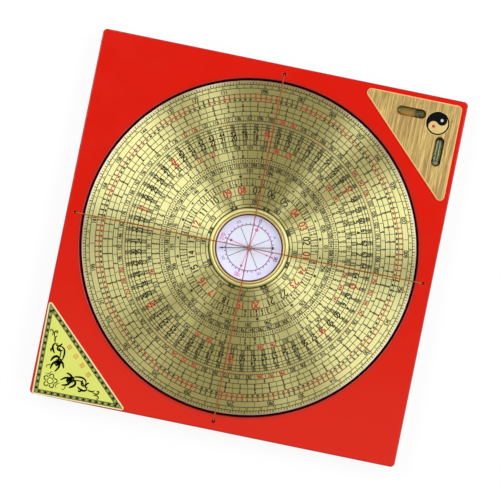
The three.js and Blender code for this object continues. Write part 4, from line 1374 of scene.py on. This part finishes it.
def floor_paper():
    """Matt grey paper that takes the shadow, and mostly shows as white to the camera, in
    reflections and through glass."""
    paper = bpy.data.materials.new("floor paper")
    nodes = emptied(paper)
    place = nodes.add("TexCoord").outputs["Object"]
    tone = nodes.mix(nodes.noise(place, 6.0), (0.6, 0.6, 0.6), (0.64, 0.64, 0.64))
    inputs = {"Base Color": tone, "Roughness": 0.9, "Specular IOR Level": 0.1}
    matt = nodes.add("BsdfPrincipled", inputs).outputs[0]
    glow = nodes.add("Emission", {"Color": (1, 1, 1, 1), "Strength": 1.13}).outputs[0]
    path = nodes.add("LightPath").outputs
    seen = nodes.math("MAXIMUM", path["Is Camera Ray"], path["Is Glossy Ray"])
    seen = nodes.math("MAXIMUM", seen, path["Is Transmission Ray"])
    share = nodes.math("MULTIPLY", seen, 0.78)
    blend = nodes.add("MixShader", {0: share, 1: matt, 2: glow}).outputs[0]
    nodes.add("OutputMaterial", {"Surface": blend})
    return paper


def studio(colours):
    """A pale room that darkens overhead, with a card beside the camera. The camera itself
    sees plain white."""
    world = bpy.data.worlds.new("studio")
    nodes = emptied(world)
    way = nodes.add("TexCoord").outputs["Generated"]
    across, forth, height = nodes.add("SeparateXYZ", {0: way}).outputs
    sky = nodes.mix(nodes.between(height, 0.1, 0.95), colours.studio_wall, colours.studio_ceiling)
    near, far = nodes.between(forth, -0.055, -0.085), nodes.between(forth, -0.42, -0.3)
    wide = nodes.between(nodes.math("ABSOLUTE", across), 0.3, 0.42, 1.0, 0.0)
    card = nodes.math("MULTIPLY", nodes.math("MULTIPLY", near, far), wide)
    card = nodes.math("MULTIPLY", card, nodes.math("GREATER_THAN", height, 0.0))
    sky = nodes.mix(card, sky, colours.studio_card)
    sky = nodes.mix(nodes.add("LightPath").outputs["Is Camera Ray"], sky, (1, 1, 1))
    back = nodes.add("Background", {"Color": sky, "Strength": 1.0})
    nodes.add("OutputWorld", {"Surface": back.outputs[0]})
    return world


def stage(colours):
    """Pale floor, studio, soft lamps and the camera."""
    half, level = 3000, -0.1
    square = np.array([(-1, -1, 0), (1, -1, 0), (1, 1, 0), (-1, 1, 0)]) * half + (0, 0, level)
    ground = loose((square, [np.array([[0, 1, 2, 3]])]), "floor")
    ground.data.materials.append(floor_paper())
    scene = bpy.context.scene
    scene.world = studio(colours)
    for row in LAMPS:
        lamp(*row)
    eye = bpy.data.cameras.new("camera")
    eye.lens, eye.sensor_width = CAMERA_LENS, 36
    eye.clip_start, eye.clip_end = 0.01, 20
    camera = linked("camera", eye)
    camera.location = CAMERA_PLACE
    camera.rotation_euler = (0, 0, math.radians(CAMERA_TURN))
    scene.camera = camera
    scene.view_settings.view_transform = "Standard"


# ---------------------------------------------------------------- add-on

def length(name, description, default):
    return bpy.props.FloatProperty(name=name, description=description, default=default * MM,
                                   min=0.0, precision=5, subtype="DISTANCE", unit="LENGTH")


def colour(name, description, default):
    return bpy.props.FloatVectorProperty(name=name, description=description, default=default,
                                         size=3, min=0.0, max=1.0, subtype="COLOR")


def degrees(name, description, default):
    return bpy.props.FloatProperty(name=name, description=description, default=default)


class CompassSizes(bpy.types.PropertyGroup):
    """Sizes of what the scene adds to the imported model."""
    board_corner: length("Board corner", "Radius of the board's four corners", 3.0)
    board_edge: length("Board edge", "Rounding along the board's edges", 1.0)
    recess_lip: length("Recess lip", "Rounding round the dial's recess", 0.6)
    hole_lip: length("Hole lip", "Rounding round each thread hole", 0.8)
    rim_gap: length("Rim gap", "Gap between the turntable and its recess", 0.4)
    plate_edge: length("Plate edge", "Rounding at the rim of the gold plate", 0.4)
    print_height: length("Print height", "How far print stands above its plate", 0.02)
    circle_line: length("Circle line", "Width of the dial's printed circles", 0.45)
    divider_line: length("Divider line", "Width of the lines between the dial's cells", 0.33)
    bezel_width: length("Bezel width", "From the bezel's bore to its outer side", 3.6)
    inner_bead: length("Inner bead", "Width of the bezel's inner bead", 1.2)
    bezel_groove: length("Bezel groove", "Width of the groove between the beads", 0.45)
    thread_width: length("Thread width", "Diameter of the crossed threads", 0.6)
    thread_pitch: length("Thread pitch", "Length of one turn of the thread's two plies", 2.0)
    # Painted highlight: the width of the pale band along the level plate's edge
    plate_rim: length("Plate rim", "Width of the painted highlight along the level plate's edge", 0.8)
    plaque_margin: length("Plaque margin", "Width of the plaque's cream edge", 1.1)
    fret_band: length("Fret band", "Width of the plaque's green band", 2.7)
    card_north: degrees("Card north", "Degrees from the x axis to the card's zero", 78.0)
    needle_angle: degrees("Needle angle", "Degrees from the x axis to the needle's tail", 10.8)


class CompassColours(bpy.types.PropertyGroup):
    """Colours of the finishes."""
    lacquer: colour("Lacquer", "Red lacquer of the board", (0.78, 0.008, 0.0015))
    # Painted shade along the board's edges and round the recess's lip
    thick_lacquer: colour("Thick lacquer", "Painted shade along edges and lip", (0.58, 0.015, 0.008))
    gold: colour("Dial gold", "Brushed plate of the dial", (0.95, 0.87, 0.38))
    # Painted highlight along the dial plate's rim
    rim: colour("Plate rim", "Painted highlight along the plate's rim", (0.88, 0.86, 0.76))
    bezel: colour("Bezel gold", "Polished ring round the compass", (1.0, 0.92, 0.42))
    # Painted shade in the bezel's groove
    groove: colour("Bezel groove", "Painted shade in the groove between that ring's beads", (0.24, 0.17, 0.04))
    inner_bead: colour("Inner bead", "Inner bead of that ring", (0.88, 0.67, 0.31))
    print_black: colour("Black print", "Black ink of the dial", (0.045, 0.036, 0.014))
    print_red: colour("Red print", "Red ink of the dial and plates", (0.6, 0.05, 0.025))
    plate_black: colour("Plate black", "Black ink of the two corner plates", (0.005, 0.004, 0.005))
    turntable: colour("Turntable", "Black rim round the dial", (0.012, 0.003, 0.002))
    card: colour("Card", "Paper of the compass card", (0.84, 0.76, 0.88))
    card_tint: colour("Card tint", "Tone of the card inside its ring", (0.82, 0.77, 0.81))
    card_pink: colour("Card pink", "Pink print of the card", (0.9, 0.3, 0.52))
    card_violet: colour("Card violet", "Violet ring and ticks of the card", (0.38, 0.14, 0.3))
    card_grey: colour("Card grey", "Grey lines and numbers of the card", (0.3, 0.24, 0.33))
    card_dot: colour("Card dots", "Small rings and dots of the card", (0.52, 0.05, 0.17))
    spacer: colour("Spacer", "Dark line under the glass", (0.15, 0.05, 0.008))
    # Painted light: a pale wall that throws light on the card's edge; the spacer's own colour is
    # the dark line
    spacer_wall: colour("Spacer wall", "Pale wall under that line", (0.95, 0.92, 0.94))
    glass: colour("Glass", "Glass of the compass", (0.97, 0.985, 0.99))
    needle: colour("Needle", "Steel of the needle's blade", (0.11, 0.115, 0.115))
    needle_tip: colour("Needle tips", "Blackened ends of the needle", (0.012, 0.012, 0.014))
    cap: colour("Cap", "Brass cap of the needle", (0.95, 0.46, 0.25))
    thread: colour("Thread", "Upper thread, red", (0.6, 0.14, 0.045))
    brown_thread: colour("Brown thread", "Lower thread, red-brown", (0.66, 0.19, 0.02))
    # Painted shade: the threads' darker, greyer colours over the card
    faded_red: colour("Red thread shade over card", "Upper thread over the card", (0.52, 0.16, 0.2))
    faded_brown: colour("Brown thread shade over card", "Lower thread over the card", (0.36, 0.16, 0.15))
    wood: colour("Wood", "Pale streaks of the level plate", (0.82, 0.56, 0.17))
    wood_dark: colour("Dark wood", "Dark streaks of the level plate", (0.38, 0.22, 0.058))
    sign: colour("Sign", "Pale ground of the round sign", (0.8, 0.57, 0.2))
    sign_dot: colour("Light dot", "Light dot of the round sign", (0.95, 0.93, 0.75))
    sign_red: colour("Red dot", "Red dot of the round sign", (0.62, 0.05, 0.008))
    # Painted highlight along the level plate's edge
    wood_rim: colour("Wood rim", "Painted highlight along the level plate's edge", (0.97, 0.55, 0.2))
    bed_x: colour("First vial bed", "Near half of the first vial's bed", (1.0, 0.36, 0.12))
    bed_x_far: colour("Its far half", "Far half of the first vial's bed", (0.66, 0.38, 0.2))
    # Painted highlight: pale sides that stand for the streaks of light along the second vial
    bed_y: colour("Second vial bed", "Sides of the second vial's bed", (0.54, 0.49, 0.2))
    bed_y_core: colour("Its middle", "Middle line of the second vial's bed", (0.03, 0.055, 0.012))
    vial: colour("Vial glass", "Glass of the vials", (0.94, 0.98, 0.95))
    spirit: colour("Spirit", "Liquid in the vials", (0.87, 0.79, 0.42))
    bubble: colour("Bubble", "Air in the vials", (0.98, 1.0, 0.98))
    plug: colour("Vial plug", "Dark plug of each vial", (0.04, 0.075, 0.04))
    vial_cap: colour("Vial end", "End of the first vial", (0.2, 0.11, 0.02))
    vial_cap_y: colour("Second vial end", "End of the second vial", (0.3, 0.28, 0.12))
    plaque_edge: colour("Plaque edge", "Cream edge of the plaque", (1.0, 0.82, 0.4))
    plaque_green: colour("Plaque band", "Green band of the plaque", (0.3, 0.33, 0.07))
    plaque_block: colour("Plaque blocks", "Paler green blocks in the band", (0.4, 0.45, 0.11))
    plaque_field: colour("Plaque field", "Lemon field of the plaque", (0.84, 0.86, 0.17))
    plaque_red: colour("Plaque red", "Small lozenges of the plaque", (0.92, 0.36, 0.07))
    brass: colour("Brass", "Case and bush", (0.72, 0.5, 0.2))
    steel: colour("Steel", "Screws and washer", (0.6, 0.59, 0.57))
    cover: colour("Cover", "Black back cover", (0.018, 0.018, 0.02))
    felt: colour("Felt", "Ring that the dial slides on", (0.05, 0.08, 0.05))
    studio_wall: colour("Studio wall", "Light from round the stage", (0.8, 0.8, 0.8))
    studio_ceiling: colour("Studio ceiling", "Light from straight above", (0.13, 0.115, 0.07))
    studio_card: colour("Studio card", "Pale card that the lacquer reflects", (0.8, 0.76, 0.5))


class PieceOperator:
    """What the operators share: they pass the sizes and colours on to their builder."""
    bl_options = {"REGISTER"}

    def execute(self, context):
        sizes = Millimetres(context.scene.compass_sizes)
        for build in self.builders:
            build(sizes, context.scene.compass_colours)
        return {"FINISHED"}


class COMPASS_OT_board(PieceOperator, bpy.types.Operator):
    """Build the lacquered board"""
    bl_idname = "compass.board"
    bl_label = "Board"
    builders = (board,)


class COMPASS_OT_underside(PieceOperator, bpy.types.Operator):
    """Build the bearing, the back cover and its screws"""
    bl_idname = "compass.underside"
    bl_label = "Underside"
    builders = (underside,)


class COMPASS_OT_dial(PieceOperator, bpy.types.Operator):
    """Build the turntable and the gold plate"""
    bl_idname = "compass.dial"
    bl_label = "Dial"
    builders = (dial,)


class COMPASS_OT_dial_print(PieceOperator, bpy.types.Operator):
    """Print the dial's circles, scales and marks"""
    bl_idname = "compass.dial_print"
    bl_label = "Dial Print"
    builders = (dial_print,)


class COMPASS_OT_compass(PieceOperator, bpy.types.Operator):
    """Build the bezel, the glass and the card"""
    bl_idname = "compass.compass"
    bl_label = "Compass"
    builders = (compass,)


class COMPASS_OT_needle(PieceOperator, bpy.types.Operator):
    """Build the needle and its cap"""
    bl_idname = "compass.needle"
    bl_label = "Needle"
    builders = (needle,)


class COMPASS_OT_threads(PieceOperator, bpy.types.Operator):
    """Build the two crossed threads"""
    bl_idname = "compass.threads"
    bl_label = "Threads"
    builders = (threads,)


class COMPASS_OT_level(PieceOperator, bpy.types.Operator):
    """Build the wooden corner plate and its vials"""
    bl_idname = "compass.level"
    bl_label = "Level"
    builders = (level_plate, vials)


class COMPASS_OT_plaque(PieceOperator, bpy.types.Operator):
    """Build the printed corner plaque"""
    bl_idname = "compass.plaque"
    bl_label = "Plaque"
    builders = (plaque,)


class COMPASS_OT_stage(bpy.types.Operator):
    """Set up the floor, the lamps and the camera"""
    bl_idname = "compass.stage"
    bl_label = "Stage"
    bl_options = {"REGISTER"}

    def execute(self, context):
        stage(context.scene.compass_colours)
        return {"FINISHED"}


OPERATORS = (COMPASS_OT_board, COMPASS_OT_underside, COMPASS_OT_dial, COMPASS_OT_dial_print,
             COMPASS_OT_compass, COMPASS_OT_needle, COMPASS_OT_threads, COMPASS_OT_level,
             COMPASS_OT_plaque, COMPASS_OT_stage)


class COMPASS_PT_pieces(bpy.types.Panel):
    """Lists the pieces, their sizes and their colours"""
    bl_label = "Feng Shui Compass"
    bl_idname = "COMPASS_PT_pieces"
    bl_space_type = "VIEW_3D"
    bl_region_type = "UI"
    bl_category = "Compass"

    def draw(self, context):
        for operator in OPERATORS:
            self.layout.operator(operator.bl_idname)
        for settings in (context.scene.compass_sizes, context.scene.compass_colours):
            box = self.layout.box()
            for name in settings.__annotations__:
                box.prop(settings, name)


CLASSES = (CompassSizes, CompassColours, *OPERATORS, COMPASS_PT_pieces)


def register():
    for entry in CLASSES:
        bpy.utils.register_class(entry)
    bpy.types.Scene.compass_sizes = bpy.props.PointerProperty(type=CompassSizes)
    bpy.types.Scene.compass_colours = bpy.props.PointerProperty(type=CompassColours)


def unregister():
    del bpy.types.Scene.compass_colours
    del bpy.types.Scene.compass_sizes
    for entry in reversed(CLASSES):
        bpy.utils.unregister_class(entry)


def main():
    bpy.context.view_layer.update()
    register()
    bpy.ops.compass.board()
    bpy.ops.compass.underside()
    bpy.ops.compass.dial()
    bpy.ops.compass.dial_print()
    bpy.ops.compass.compass()
    bpy.ops.compass.needle()
    bpy.ops.compass.threads()
    bpy.ops.compass.level()
    bpy.ops.compass.plaque()
    bpy.ops.compass.stage()


if __name__ == "__main__":
    main()
